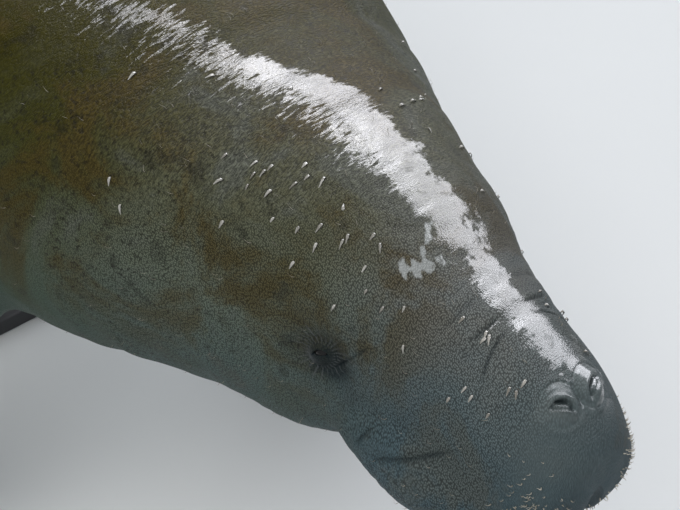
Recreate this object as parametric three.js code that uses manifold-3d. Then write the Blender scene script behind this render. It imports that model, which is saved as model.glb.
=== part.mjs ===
// A manatee as a life-size display model: a still swimming pose, held over a flat base by two short rods.
// Millimetres. +X forward, +Y the animal's left, +Z up. The origin is the middle of the base's underside.
import * as THREE from 'three'
import * as BufferGeometryUtils from 'three/addons/utils/BufferGeometryUtils.js'
import Module from 'manifold-3d'

const wasm = await Module()
wasm.setup()

// Driving dimensions of the body. "At" is a distance from the snout along the body, before it is bent.
const LEVEL = 620 // height of the chest's axis above the floor
const ORIGIN_AT = 1375 // the place along the body that stands over the origin
const GAP = 0.3 // left between pieces that touch
const SIDES = 40 // points round the body
const RING_SIDES = 18 // points round an eyelid's or nostril's ring
const RING_PROFILE = 8 // points round that ring's thickness
const ROUND_SIDES = 28 // points round a flange or a rod
const MERGE_WITHIN = 1e-4 // points nearer than this become one

// Cross-sections from snout to tail tip: place, half width, height of the widest line,
// rise above it, drop below it, squareness, and how much the lower half is wider than the upper.
const SECTIONS = [
  [0, 0, -42, 0, 0, 2.4, 0],
  [8, 45, -41, 38, 43, 2.5, 0.3],
  [30, 65, -36, 65, 69, 2.6, 0.36],
  [62, 79, -31, 86, 88, 2.6, 0.38],
  [105, 84, -24, 100, 92, 2.5, 0.34],
  [155, 90, -14, 107, 100, 2.4, 0.16],
  [215, 108, -4, 127, 130, 2.3, 0.08],
  [290, 138, 0, 150, 160, 2.2, 0.05],
  [390, 188, 0, 162, 182, 2.1, 0.03],
  [520, 246, 0, 194, 218, 2.1, 0.02],
  [700, 306, 0, 236, 260, 2.1, 0],
  [950, 360, 0, 266, 288, 2.1, 0],
  [1250, 380, 0, 276, 296, 2.1, 0],
  [1550, 340, 0, 270, 286, 2.1, 0],
  [1820, 266, 0, 222, 226, 2.1, 0],
  [2030, 196, 0, 158, 154, 2, 0],
  [2180, 172, 0, 108, 101, 1.9, 0],
  [2340, 228, 0, 74, 66, 1.7, 0],
  [2520, 322, 0, 52, 43, 1.5, 0],
  [2680, 348, 0, 37, 30, 1.5, 0],
  [2810, 270, 0, 25, 20, 1.5, 0],
  [2885, 130, 0, 14, 12, 1.6, 0],
  [2900, 0, 0, 0, 0, 1.8, 0],
]
const LENGTH = SECTIONS[SECTIONS.length - 1][0]

// The body's bend in the side view: the head is raised a little, the tail hangs and its paddle levels out.
const HEAD_PITCH = THREE.MathUtils.degToRad(3)
const HEAD_PITCH_ENDS = 650
const TAIL_DROOP = THREE.MathUtils.degToRad(16)
const TAIL_DROOP_FROM = 1350
const TAIL_DROOP_TO = 2450
const PADDLE_LIFT = THREE.MathUtils.degToRad(9)
const PADDLE_LIFT_FROM = 2350

// Where the body is parted into nodes
const HEAD_ENDS = 400
const NECK_ENDS = 560
const CHEST_ENDS = 1250
const BELLY_ENDS = 1960
const STOCK_ENDS = 2230

// Swellings and hollows of the head, alike on both sides: middle, reach and height
const SWELLINGS = {
  upper_lip_lobe: { middle: [144, 84, -86], reach: [98, 62, 64], height: 29 },
  jowl: { middle: [262, 104, -112], reach: [70, 60, 62], height: 8 },
  notch_behind_lobe: { middle: [212, 92, -112], reach: [20, 60, 44], height: -10 },
  chin: { middle: [118, 0, -118], reach: [86, 50, 46], height: 17 },
  nostril_mound: { middle: [38, 18, 36], reach: [28, 24, 28], height: 6 },
  eye_hollow: { middle: [225, 112, 4], reach: [46, 30, 36], height: -7 },
  eyelid_mound: { middle: [225, 112, 4], reach: [20, 30, 18], height: 6 },
  lip_cleft: { middle: [16, 0, -76], reach: [42, 13, 46], height: -7 },
  brow: { middle: [222, 92, 62], reach: [60, 50, 44], height: 4 },
}
// Creases that run across the body: place, half width, depth, and the height that they stay above
const CREASES = [
  { at: 106, half: 14, depth: 3, above: 40 },
  { at: 350, half: 24, depth: 1.5, above: -400 },
  { at: 448, half: 24, depth: 2, above: -400 },
  { at: 542, half: 26, depth: 2, above: -400 },
]
const CREASE_FADE = 25 // the rise over which a crease reaches its full depth
// The line of the mouth, from its corner round the front: place and angle below the widest line
const MOUTH = [
  [196, 50], [180, 54], [155, 59], [120, 63], [85, 66], [60, 71], [44, 79], [36, 90],
]
const MOUTH_GROOVE_RADIUS = 5
const MOUTH_STEPS = 34
// The lower jaw: the place of its middle, the hidden cut above it, and how far down its block goes
const JAW = { middleAt: 130, topAt: 110, top: -78, depth: 140 }

const EYE = { at: 225, angle: 4, radius: 8, sunk: 5, ring: 10, ringThick: 4.2, ringLift: -0.8 }
const NOSTRIL = { at: 38, angle: 68, ring: 12.5, ringThick: 4.6, ringLift: -2.8 }
const NOSTRIL_PIT = { halves: [10, 5, 8], forward: 0.35 } // its long way turns forward by this much

// Flipper: its middle line from inside the chest to the tip. Its half width and half thickness swell to the
// root and to the blade, as parts of its length, and round off at the tip.
const FLIPPER_LINE = [[655, 205, -112], [668, 300, -225], [722, 362, -345], [815, 396, -470]]
const FLIPPER_BREADTH = { arm: 60, root: 22, rootEnds: 0.34, blade: 24, bladeFrom: 0.22, bladeTo: 0.72 }
const FLIPPER_THICKNESS = { arm: 27, root: 24, rootEnds: 0.38, blade: -13, bladeFrom: 0.25, bladeTo: 0.9 }
const FLIPPER_TIP = { from: 0.66, roundness: 2.3 }
const FLIPPER_TWIST = 0.25 // how far the front edge turns outward
const FLIPPER_SIDES = 20
const FLIPPER_RINGS = [
  0, 0.1, 0.2, 0.29, 0.37, 0.46, 0.55, 0.63, 0.7, 0.77, 0.83, 0.88, 0.92, 0.95, 0.975, 0.991, 0.998,
]
const NAILS = [{ along: 0.89, across: -0.55 }, { along: 0.94, across: 0 }, { along: 0.89, across: 0.55 }]
const NAIL_SIZE = [12, 9, 6] // half length, half width, half thickness

// Display stand
const BASE = { length: 780, width: 560, thick: 28, corner: 90, bevel: 4 }
const ROD_RADIUS = 19
const ROD_SINK = 40 // how far a rod would reach into the belly before it is cut to it
const FLANGE = { radius: 58, thick: 13, bevel: 3 }
const RODS = { front: 1085, rear: 1665 } // places along the body

const material = (colour, roughness, metalness = 0) =>
  new THREE.MeshStandardMaterial({ color: colour, roughness, metalness })
const MATERIALS = {
  hide: material('#5f5c50', 0.5),
  muzzle: material('#59606a', 0.5),
  eye: material('#14110f', 0.08),
  nail: material('#b9ac93', 0.4),
  base: material('#2c2d2f', 0.45),
  rod: material('#b6b8ba', 0.25, 1),
}

// The body's form
const smooth = (x) => THREE.MathUtils.smoothstep(x, 0, 1)

// Sections are joined by a cubic through them. Past each end the shape is mirrored, so both ends are round.
function section(u) {
  const last = SECTIONS.length - 1
  const i = Math.min(Math.floor(u), last - 1)
  const f = u - i
  const isSize = [false, true, false, true, true, false, false]
  const value = (k, c) => {
    const inside = k < 0 ? 1 : k > last ? last - 1 : k
    return k !== inside && isSize[c] ? -SECTIONS[inside][c] : SECTIONS[inside][c]
  }
  return SECTIONS[0].map((_, c) => {
    const p1 = value(i, c)
    const p2 = value(i + 1, c)
    const m1 = (p2 - value(i - 1, c)) / 2
    const m2 = (value(i + 2, c) - p1) / 2
    return (2 * f ** 3 - 3 * f ** 2 + 1) * p1 + (f ** 3 - 2 * f ** 2 + f) * m1 +
      (3 * f ** 2 - 2 * f ** 3) * p2 + (f ** 3 - f ** 2) * m2
  })
}

// The section number at a place along the body, by halving
const HALVINGS = 40
function sectionAt(place) {
  let low = 0
  let high = SECTIONS.length - 1
  for (let step = 0; step < HALVINGS; step++) {
    const middle = (low + high) / 2
    if (section(middle)[0] < place) low = middle
    else high = middle
  }
  return (low + high) / 2
}

// A point of the smooth body before its relief: angle 0 is the left side, a quarter turn is the back
function plainPoint(u, angle) {
  const [at, width, middle, up, down, squareness, pear] = section(u)
  const c = Math.cos(angle)
  const s = Math.sin(angle)
  const k = (Math.abs(c) ** squareness + Math.abs(s) ** squareness) ** (-1 / squareness)
  const height = (s >= 0 ? up : down) * s * k
  return new THREE.Vector3(at, width * c * k * (1 - pear * s * k), middle + height)
}

const SLOPE_STEP = 0.01
const NEAREST_TO_SNOUT = 0.001
function plainNormal(u, angle) {
  const ahead = Math.max(u - SLOPE_STEP, NEAREST_TO_SNOUT)
  const along = plainPoint(u + SLOPE_STEP, angle).sub(plainPoint(ahead, angle))
  const round = plainPoint(u, angle + SLOPE_STEP).sub(plainPoint(u, angle - SLOPE_STEP))
  return round.cross(along).normalize()
}

function relief(p) {
  let height = 0
  for (const { middle, reach, height: rise } of Object.values(SWELLINGS)) {
    const r2 = ((p.x - middle[0]) / reach[0]) ** 2 + ((Math.abs(p.y) - middle[1]) / reach[1]) ** 2 +
      ((p.z - middle[2]) / reach[2]) ** 2
    height += rise * Math.max(0, 1 - r2) ** 2
  }
  for (const { at, half, depth, above } of CREASES) {
    const across = Math.max(0, 1 - ((p.x - at) / half) ** 2) ** 2
    height -= depth * across * smooth((p.z - above) / CREASE_FADE)
  }
  return height
}

// The pitch of the body's axis, and the axis itself, stepped from the snout
const AXIS_STEP = 5
const pitch = (at) =>
  HEAD_PITCH * smooth((HEAD_PITCH_ENDS - at) / HEAD_PITCH_ENDS) +
  TAIL_DROOP * smooth((at - TAIL_DROOP_FROM) / (TAIL_DROOP_TO - TAIL_DROOP_FROM)) -
  PADDLE_LIFT * smooth((at - PADDLE_LIFT_FROM) / (LENGTH - PADDLE_LIFT_FROM))
const AXIS = [new THREE.Vector2(0, 0)]
for (let at = AXIS_STEP; at <= LENGTH + AXIS_STEP; at += AXIS_STEP) {
  const turn = pitch(at - AXIS_STEP / 2)
  const previous = AXIS[AXIS.length - 1]
  const back = new THREE.Vector2(-Math.cos(turn), -Math.sin(turn)).multiplyScalar(AXIS_STEP)
  AXIS.push(previous.clone().add(back))
}
function axisPoint(at) {
  const i = Math.min(Math.max(Math.floor(at / AXIS_STEP), 0), AXIS.length - 2)
  return AXIS[i].clone().lerp(AXIS[i + 1], at / AXIS_STEP - i)
}
const AXIS_OVER_ORIGIN = axisPoint(ORIGIN_AT)

// From straight coordinates (place along the body, left, up) to the model's frame
function bend(p) {
  const axis = axisPoint(p.x).sub(AXIS_OVER_ORIGIN)
  const turn = pitch(p.x)
  return new THREE.Vector3(axis.x - Math.sin(turn) * p.z, p.y, LEVEL + axis.y + Math.cos(turn) * p.z)
}

// A point of the finished skin, and the outward direction there, both in the model's frame
function skinPoint(u, angle, grow = 0) {
  const p = plainPoint(u, angle)
  return bend(p.clone().addScaledVector(plainNormal(u, angle), relief(p) + grow))
}
function skinNormal(u, angle) {
  const p = plainPoint(u, angle)
  return bend(p.clone().add(plainNormal(u, angle))).sub(bend(p)).normalize()
}

// Solids
function closedLoft(rings, startPoint, endPoint) {
  const count = rings[0].length
  const points = [startPoint, ...rings.flat(), endPoint]
  const last = points.length - 1
  const index = []
  for (let j = 0; j < count; j++) {
    const next = (j + 1) % count
    index.push(0, 1 + next, 1 + j)
    const base = 1 + (rings.length - 1) * count
    index.push(last, base + j, base + next)
    for (let i = 0; i < rings.length - 1; i++) {
      const a = 1 + i * count
      const b = a + count
      index.push(a + j, a + next, b + next)
      index.push(a + j, b + next, b + j)
    }
  }
  const geometry = new THREE.BufferGeometry()
  geometry.setAttribute('position', new THREE.Float32BufferAttribute(points.flatMap((p) => p.toArray()), 3))
  geometry.setIndex(index)
  return outward(geometry)
}

// Turns the faces over when they point in
function outward(geometry) {
  const position = geometry.getAttribute('position')
  const index = geometry.getIndex().array
  const corner = (i) => new THREE.Vector3().fromBufferAttribute(position, index[i])
  let volume = 0
  for (let i = 0; i < index.length; i += 3) volume += corner(i).dot(corner(i + 1).cross(corner(i + 2)))
  if (volume < 0) {
    for (let i = 0; i < index.length; i += 3) [index[i], index[i + 1]] = [index[i + 1], index[i]]
  }
  return geometry
}

// Places for rings, close together where the form is fine
function ringPlaces(from, to, step) {
  const count = Math.max(1, Math.round((to - from) / step))
  return Array.from({ length: count + 1 }, (_, i) => from + ((to - from) * i) / count)
}

function skinRing(u, grow) {
  return Array.from({ length: SIDES }, (_, j) => skinPoint(u, (2 * Math.PI * j) / SIDES, grow))
}
const middleOf = (ring) => ring.reduce((sum, p) => sum.add(p), new THREE.Vector3()).divideScalar(ring.length)

// A length of the body between two cuts. The first place 0 or the last place LENGTH closes to a point.
function bodyLength(places, grow = 0) {
  const closesInFront = places[0] === 0
  const closesBehind = places[places.length - 1] === LENGTH
  const rings = places
    .filter((at) => at > 0 && at < LENGTH)
    .map((at) => skinRing(sectionAt(at), grow))
  const tip = (u, push) => bend(plainPoint(u, 0).add(new THREE.Vector3(push, 0, 0)))
  const front = closesInFront ? tip(0, -grow) : middleOf(rings[0])
  const back = closesBehind ? tip(SECTIONS.length - 1, grow) : middleOf(rings[rings.length - 1])
  return closedLoft(rings, front, back)
}

function toManifold(geometry) {
  const bare = geometry.clone()
  bare.deleteAttribute('normal')
  bare.deleteAttribute('uv')
  const merged = BufferGeometryUtils.mergeVertices(bare, MERGE_WITHIN)
  return new wasm.Manifold(new wasm.Mesh({
    numProp: 3,
    vertProperties: new Float32Array(merged.getAttribute('position').array),
    triVerts: new Uint32Array(merged.getIndex().array),
  }))
}

// Only the largest closed surface of a solid is kept
function toGeometry(solid) {
  const pieces = solid.decompose().sort((a, b) => b.volume() - a.volume())
  const { vertProperties, triVerts, numProp } = pieces[0].getMesh()
  const position = []
  for (let i = 0; i < vertProperties.length; i += numProp) position.push(...vertProperties.slice(i, i + 3))
  const geometry = new THREE.BufferGeometry()
  geometry.setAttribute('position', new THREE.Float32BufferAttribute(position, 3))
  geometry.setIndex(Array.from(triVerts))
  return geometry
}

// A matrix that carries +Z to a direction, at a point, with +X as near as it goes to a second direction
function placed(point, direction, towards) {
  const z = direction.clone().normalize()
  const y = z.clone().cross(towards).normalize()
  const x = y.clone().cross(z)
  return new THREE.Matrix4().makeBasis(x, y, z).setPosition(point)
}

// Places on the skin that come in a left and a right: the right one is the mirror of the left
const SIDES_OF_BODY = { left: 1, right: -1 }
const sideAngle = (degrees, side) => THREE.MathUtils.degToRad(side > 0 ? degrees : 180 - degrees)
const mirrored = (p, side) => new THREE.Vector3(p.x, p.y * side, p.z)

// Head
const FORWARD = new THREE.Vector3(1, 0, 0)
function eyeCentre(side) {
  const u = sectionAt(EYE.at)
  const angle = sideAngle(EYE.angle, side)
  return skinPoint(u, angle).addScaledVector(skinNormal(u, angle), -EYE.sunk)
}
const eyeball = (radius, side) => {
  const centre = eyeCentre(side)
  return new THREE.IcosahedronGeometry(radius, 2).translate(centre.x, centre.y, centre.z)
}

// A ring of lid or rim, half sunk in the skin
function ringOnSkin(place, side) {
  const u = sectionAt(place.at)
  const angle = sideAngle(place.angle, side)
  const normal = skinNormal(u, angle)
  const point = skinPoint(u, angle).addScaledVector(normal, place.ringLift)
  return new THREE.TorusGeometry(place.ring, place.ringThick, RING_PROFILE, RING_SIDES)
    .applyMatrix4(placed(point, normal, FORWARD))
}

function nostrilPit(side) {
  const u = sectionAt(NOSTRIL.at)
  const angle = sideAngle(NOSTRIL.angle, side)
  const towards = new THREE.Vector3(NOSTRIL_PIT.forward, side, 0)
  return new THREE.IcosahedronGeometry(1, 2)
    .scale(...NOSTRIL_PIT.halves)
    .applyMatrix4(placed(skinPoint(u, angle), skinNormal(u, angle), towards))
}

// The mouth's line on the skin, from the left corner round the front to the right one
function mouthLine() {
  const onSkin = (at, degrees, side) => skinPoint(sectionAt(at), sideAngle(-degrees, side))
  const left = MOUTH.map(([at, degrees]) => onSkin(at, degrees, 1))
  const right = MOUTH.slice(0, -1).reverse().map(([at, degrees]) => onSkin(at, degrees, -1))
  return new THREE.CatmullRomCurve3([...left, ...right], false, 'centripetal')
}

function mouthGroove() {
  const profile = new THREE.Shape().absarc(0, 0, MOUTH_GROOVE_RADIUS, 0, 2 * Math.PI)
  const settings = { extrudePath: mouthLine(), steps: MOUTH_STEPS, curveSegments: 4 }
  return new THREE.ExtrudeGeometry(profile, settings)
}

// A block whose plan is the space inside the mouth's line, from a hidden cut down past the chin
function jawBlock(grow) {
  const plan = mouthLine().getSpacedPoints(MOUTH_STEPS).map((p) => new THREE.Vector2(p.x, p.y))
  const middle = new THREE.Vector2(bend(new THREE.Vector3(JAW.middleAt, 0, 0)).x, 0)
  const grown = plan.map((p) => p.clone().add(p.clone().sub(middle).setLength(grow)))
  const top = bend(new THREE.Vector3(JAW.topAt, 0, JAW.top)).z + grow
  const settings = { depth: JAW.depth, bevelEnabled: false, curveSegments: 1 }
  return new THREE.ExtrudeGeometry(new THREE.Shape(grown), settings).translate(0, 0, top - JAW.depth)
}

const HEAD_PLACES = [
  0, 0.6, 2.4, 5.5, 10, 15, 21, 28, ...ringPlaces(36, 240, 9.3), ...ringPlaces(252, HEAD_ENDS - GAP / 2, 13),
]
const wholeHead = toManifold(bodyLength(HEAD_PLACES))
const groove = toManifold(mouthGroove())

function head() {
  let solid = wholeHead.subtract(toManifold(jawBlock(GAP))).subtract(groove)
  for (const side of Object.values(SIDES_OF_BODY)) {
    solid = solid
      .add(toManifold(ringOnSkin(EYE, side)))
      .subtract(toManifold(eyeball(EYE.radius + GAP, side)))
      .add(toManifold(ringOnSkin(NOSTRIL, side)))
      .subtract(toManifold(nostrilPit(side)))
  }
  return toGeometry(solid)
}
const lowerJaw = () => toGeometry(wholeHead.intersect(toManifold(jawBlock(0))).subtract(groove))

// Trunk and tail: even rings, closer over the neck's folds and the paddle's edge
const cut = (from, to, step) => ringPlaces(from + GAP / 2, to - GAP / 2, step)
const NECK_PLACES = cut(HEAD_ENDS, NECK_ENDS, 13)
const CHEST_PLACES = cut(NECK_ENDS, CHEST_ENDS, 62)
const BELLY_PLACES = cut(CHEST_ENDS, BELLY_ENDS, 70)
const STOCK_PLACES = cut(BELLY_ENDS, STOCK_ENDS, 45)
const PADDLE_PLACES = [
  ...ringPlaces(STOCK_ENDS + GAP / 2, 2780, 50), 2818, 2848, 2870, 2885, 2894.5, 2899, LENGTH,
]

// Flippers
const flipperCurve = (side) =>
  new THREE.CatmullRomCurve3(FLIPPER_LINE.map((p) => bend(mirrored(new THREE.Vector3(...p), side))))
function flipperHalf(size, s) {
  const rootSwell = size.root * (1 - smooth(s / size.rootEnds))
  const bladeSwell = size.blade * smooth((s - size.bladeFrom) / (size.bladeTo - size.bladeFrom))
  const pastTip = Math.max(0, (s - FLIPPER_TIP.from) / (1 - FLIPPER_TIP.from))
  const tipRound = (1 - pastTip ** FLIPPER_TIP.roundness) ** (1 / FLIPPER_TIP.roundness)
  return (size.arm + rootSwell + bladeSwell) * tipRound
}
function flipperFrame(side, s) {
  const curve = flipperCurve(side)
  const along = curve.getTangentAt(s)
  const towardsEdge = new THREE.Vector3(1, FLIPPER_TWIST * side, 0)
  const across = towardsEdge.addScaledVector(along, -towardsEdge.dot(along)).normalize()
  const out = along.clone().cross(across).normalize()
  if (out.y * side < 0) out.negate()
  return { middle: curve.getPointAt(s), across, out }
}
function flipperPoint(side, s, angle, grow = 0) {
  const { middle, across, out } = flipperFrame(side, s)
  const breadth = flipperHalf(FLIPPER_BREADTH, s) + grow
  const thickness = flipperHalf(FLIPPER_THICKNESS, s) + grow
  return middle
    .addScaledVector(across, breadth * Math.cos(angle))
    .addScaledVector(out, thickness * Math.sin(angle))
}
function wholeFlipper(side, grow = 0) {
  const angles = Array.from({ length: FLIPPER_SIDES }, (_, j) => (2 * Math.PI * j) / FLIPPER_SIDES)
  const rings = FLIPPER_RINGS.map((s) => angles.map((angle) => flipperPoint(side, s, angle, grow)))
  const tip = flipperFrame(side, 1).middle
  return closedLoft(rings, middleOf(rings[0]), tip)
}
const grownChest = toManifold(bodyLength(CHEST_PLACES, GAP))
const flipper = (side) => toGeometry(toManifold(wholeFlipper(side)).subtract(grownChest))

function nail(side, { along, across }) {
  const { middle, across: acrossWay, out } = flipperFrame(side, along)
  const breadth = flipperHalf(FLIPPER_BREADTH, along) * across
  const rise = flipperHalf(FLIPPER_THICKNESS, along) * Math.sqrt(1 - across * across)
  const point = middle.addScaledVector(acrossWay, breadth).addScaledVector(out, rise)
  const towards = flipperCurve(side).getTangentAt(along)
  const plate = new THREE.IcosahedronGeometry(1, 1)
    .scale(...NAIL_SIZE)
    .applyMatrix4(placed(point, out, towards))
  return toGeometry(toManifold(plate).subtract(toManifold(wholeFlipper(side, GAP))))
}

// Display stand
function standBase() {
  const x = BASE.length / 2 - BASE.bevel
  const y = BASE.width / 2 - BASE.bevel
  const r = BASE.corner
  const plan = new THREE.Shape()
  plan.absarc(x - r, y - r, r, 0, Math.PI / 2)
  plan.absarc(-x + r, y - r, r, Math.PI / 2, Math.PI)
  plan.absarc(-x + r, -y + r, r, Math.PI, 1.5 * Math.PI)
  plan.absarc(x - r, -y + r, r, 1.5 * Math.PI, 2 * Math.PI)
  return new THREE.ExtrudeGeometry(plan, {
    depth: BASE.thick - 2 * BASE.bevel,
    bevelThickness: BASE.bevel,
    bevelSize: BASE.bevel,
    bevelSegments: 1,
    curveSegments: 6,
  }).translate(0, 0, BASE.bevel)
}
const FLANGE_BOTTOM = BASE.thick + GAP
const ROD_BOTTOM = FLANGE_BOTTOM + FLANGE.thick + GAP
const rodX = (at) => bend(new THREE.Vector3(at, 0, 0)).x

function standFlange(at) {
  const { radius, thick, bevel } = FLANGE
  const profile = [[0, 0], [radius, 0], [radius, thick - bevel], [radius - bevel, thick], [0, thick]]
  return new THREE.LatheGeometry(profile.map((p) => new THREE.Vector2(...p)), ROUND_SIDES)
    .rotateX(Math.PI / 2)
    .translate(rodX(at), 0, FLANGE_BOTTOM)
}
function standRod(at, trunk) {
  const top = skinPoint(sectionAt(at), -Math.PI / 2).z + ROD_SINK
  const height = top - ROD_BOTTOM
  const rod = new THREE.CylinderGeometry(ROD_RADIUS, ROD_RADIUS, height, ROUND_SIDES)
    .rotateX(Math.PI / 2)
    .translate(rodX(at), 0, ROD_BOTTOM + height / 2)
  return toGeometry(toManifold(rod).subtract(trunk))
}
const grownBelly = toManifold(bodyLength(BELLY_PLACES, GAP))

// The model
const group = new THREE.Group()
function add(name, geometry, surface) {
  const mesh = new THREE.Mesh(geometry, surface)
  mesh.name = name
  group.add(mesh)
}

add('head', head(), MATERIALS.muzzle)
add('lower_jaw', lowerJaw(), MATERIALS.muzzle)
add('neck', bodyLength(NECK_PLACES), MATERIALS.hide)
add('torso_front', bodyLength(CHEST_PLACES), MATERIALS.hide)
add('torso_rear', bodyLength(BELLY_PLACES), MATERIALS.hide)
add('tail_stock', bodyLength(STOCK_PLACES), MATERIALS.hide)
add('tail_paddle', bodyLength(PADDLE_PLACES), MATERIALS.hide)
for (const [name, side] of Object.entries(SIDES_OF_BODY)) {
  add(`eye_${name}`, eyeball(EYE.radius, side), MATERIALS.eye)
  add(`flipper_${name}`, flipper(side), MATERIALS.hide)
  NAILS.forEach((place, i) => add(`nail_${name}_${i + 1}`, nail(side, place), MATERIALS.nail))
}
add('stand_base', standBase(), MATERIALS.base)
add('stand_flange_front', standFlange(RODS.front), MATERIALS.rod)
add('stand_flange_rear', standFlange(RODS.rear), MATERIALS.rod)
add('stand_rod_front', standRod(RODS.front, grownChest), MATERIALS.rod)
add('stand_rod_rear', standRod(RODS.rear, grownBelly), MATERIALS.rod)

export default group
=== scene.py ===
"""A manatee as a life-size museum model: one skin, eyes, nails, hairs and a plain display stand."""

import math

import bpy
import numpy as np
from mathutils import Matrix, Vector
from mathutils.kdtree import KDTree


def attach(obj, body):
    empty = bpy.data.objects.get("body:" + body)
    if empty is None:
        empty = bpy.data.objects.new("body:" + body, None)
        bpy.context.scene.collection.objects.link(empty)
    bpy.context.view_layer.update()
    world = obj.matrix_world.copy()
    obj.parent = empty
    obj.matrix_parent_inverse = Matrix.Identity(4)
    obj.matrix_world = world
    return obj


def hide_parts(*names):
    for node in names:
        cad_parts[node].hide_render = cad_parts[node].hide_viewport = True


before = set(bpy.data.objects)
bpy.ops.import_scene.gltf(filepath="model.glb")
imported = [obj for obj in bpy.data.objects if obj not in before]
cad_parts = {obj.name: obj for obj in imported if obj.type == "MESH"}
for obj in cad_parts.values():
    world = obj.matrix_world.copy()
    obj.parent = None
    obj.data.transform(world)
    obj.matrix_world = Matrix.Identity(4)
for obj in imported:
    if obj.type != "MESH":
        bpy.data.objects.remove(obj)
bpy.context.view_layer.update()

# Body sizes are in millimetres and turned to metres as a mesh is made.
MM = 0.001
GAP = 0.3
SEED = 11
SIDES = {"left": 1, "right": -1}
# Height of the body's axis over the floor, and the place along the body that lies over the origin
LEVEL = 620.0
ORIGIN_AT = 1375.0

# Cross-sections from snout to tail tip: place, half width, height of the widest line,
# rise above it, drop below it, squareness, and how much the lower half is wider than the upper.
SECTIONS = np.array([
    [0, 0, -42, 0, 0, 2.4, 0],
    [8, 45, -41, 38, 43, 2.5, 0.3],
    [30, 65, -36, 65, 69, 2.6, 0.36],
    [62, 79, -31, 86, 88, 2.6, 0.38],
    [105, 84, -24, 100, 92, 2.5, 0.34],
    [155, 90, -14, 107, 100, 2.4, 0.16],
    [215, 108, -4, 127, 130, 2.3, 0.08],
    [290, 138, 0, 150, 160, 2.2, 0.05],
    [390, 188, 0, 162, 182, 2.1, 0.03],
    [520, 246, 0, 194, 218, 2.1, 0.02],
    [700, 306, 0, 236, 260, 2.1, 0],
    [950, 360, 0, 266, 288, 2.1, 0],
    [1250, 380, 0, 276, 296, 2.1, 0],
    [1550, 340, 0, 270, 286, 2.1, 0],
    [1820, 266, 0, 222, 226, 2.1, 0],
    [2030, 196, 0, 158, 154, 2, 0],
    [2180, 172, 0, 108, 101, 1.9, 0],
    [2340, 228, 0, 74, 66, 1.7, 0],
    [2520, 322, 0, 52, 43, 1.5, 0],
    [2680, 348, 0, 37, 30, 1.5, 0],
    [2810, 270, 0, 25, 20, 1.5, 0],
    [2885, 130, 0, 14, 12, 1.6, 0],
    [2900, 0, 0, 0, 0, 1.8, 0],
], float)
IS_SIZE = np.array([False, True, False, True, True, False, False])
LAST = len(SECTIONS) - 1
LENGTH = SECTIONS[-1, 0]

# The body's bend in the side view
HEAD_PITCH = math.radians(3)
HEAD_PITCH_ENDS = 650.0
TAIL_DROOP = math.radians(16)
TAIL_DROOP_FROM = 1350.0
TAIL_DROOP_TO = 2450.0
PADDLE_LIFT = math.radians(9)
PADDLE_LIFT_FROM = 2350.0
AXIS_STEP = 5.0
NEWTON_STEPS = 3

# Swellings and hollows of the head, alike on both sides: middle, reach and height
SWELLINGS = {
    "upper_lip_lobe": ((144, 84, -86), (98, 62, 64), 29),
    "jowl": ((262, 104, -112), (70, 60, 62), 8),
    "notch_behind_lobe": ((212, 92, -112), (20, 60, 44), -10),
    "chin": ((118, 0, -118), (86, 50, 46), 17),
    "nostril_mound": ((38, 18, 36), (28, 24, 28), 6),
    "eye_hollow": ((225, 112, 4), (46, 30, 36), -7),
    "eyelid_mound": ((225, 112, 4), (20, 30, 18), 6),
    "lip_cleft": ((16, 0, -76), (42, 13, 46), -7),
    "brow": ((222, 92, 62), (60, 50, 44), 4),
}
# Creases that run across the body: place, half width, depth, and the height that they stay above
CROSS_CREASES = (
    (106, 14, 3, 40),
    (350, 24, 1.5, -400),
    (448, 24, 2, -400),
    (542, 26, 2, -400),
)
CREASE_FADE = 25.0

# The line of the mouth, from its corner to the front: place and degrees below the widest line
MOUTH = ((196, 50), (180, 54), (155, 59), (120, 63), (85, 66), (60, 71), (44, 79), (36, 90))
MOUTH_GROOVE = {"depth": 7.5, "half": 3.4, "lip": 2.4, "lip_off": 10.0, "lip_half": 5.0, "corner": 0.1}

# Folds that run over the head: depth, half width, and a line of points, each a place, a distance from the
# middle and a height
HEAD_FOLDS = {
    "muzzle_crease": (1.8, 1.4, ((104, 12, 71), (102, 22, 67), (101, 31, 62), (98, 42, 53), (92, 54, 38))),
    "snout_crease": (1.7, 1.4, ((113, 12, 76), (114, 25, 71), (116, 37, 65), (121, 50, 55))),
    "second_snout_crease": (0.9, 3.0, ((134, 0, 92), (135, 24, 84), (139, 48, 66), (147, 66, 44))),
    "eye_front_crease": (2.0, 1.5, (
        (222, 105, -12), (211, 101, -1), (200, 98, 13), (188, 93, 30), (181, 90, 38),
    )),
    "lip_pad_fold": (1.6, 2.8, (
        (165, 107, -72), (152, 109, -63), (137, 106, -53), (121, 98, -44), (104, 87, -31), (85, 78, -15),
    )),
    "short_cheek_crease": (1.8, 2.4, ((182, 105, -74), (175, 106, -60), (165, 98, -39))),
    "jowl_crease": (0.4, 4.0, ((236, 104, -96), (246, 114, -66), (262, 126, -40))),
}
# A fold's shape: the share of its length over which each end fades, and the swelling beside it as shares of
# its depth and half width
FOLD = {"ends": 0.25, "swell": 0.32, "swell_off": 2.4, "swell_half": 1.6}

# Patches on the right where a film of water lies beside the strip, glossy, with its sheen as a painted
# reflection in a pale colour: half width and a line of points, each a place and its distance from the middle
FILM_SHEEN_PATCHES = (
    (2.6, ((200, 12), (193, 24), (188, 31))),
    (4.6, ((190, 51), (184, 45), (179, 40))),
    (3.4, ((179, 40), (176, 33), (175, 26))),
    (2.4, ((188, 31), (181, 38))),
)
FILM_SHEEN = {"edge": 1.4, "fade": 1.3, "above": 40.0}

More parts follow.
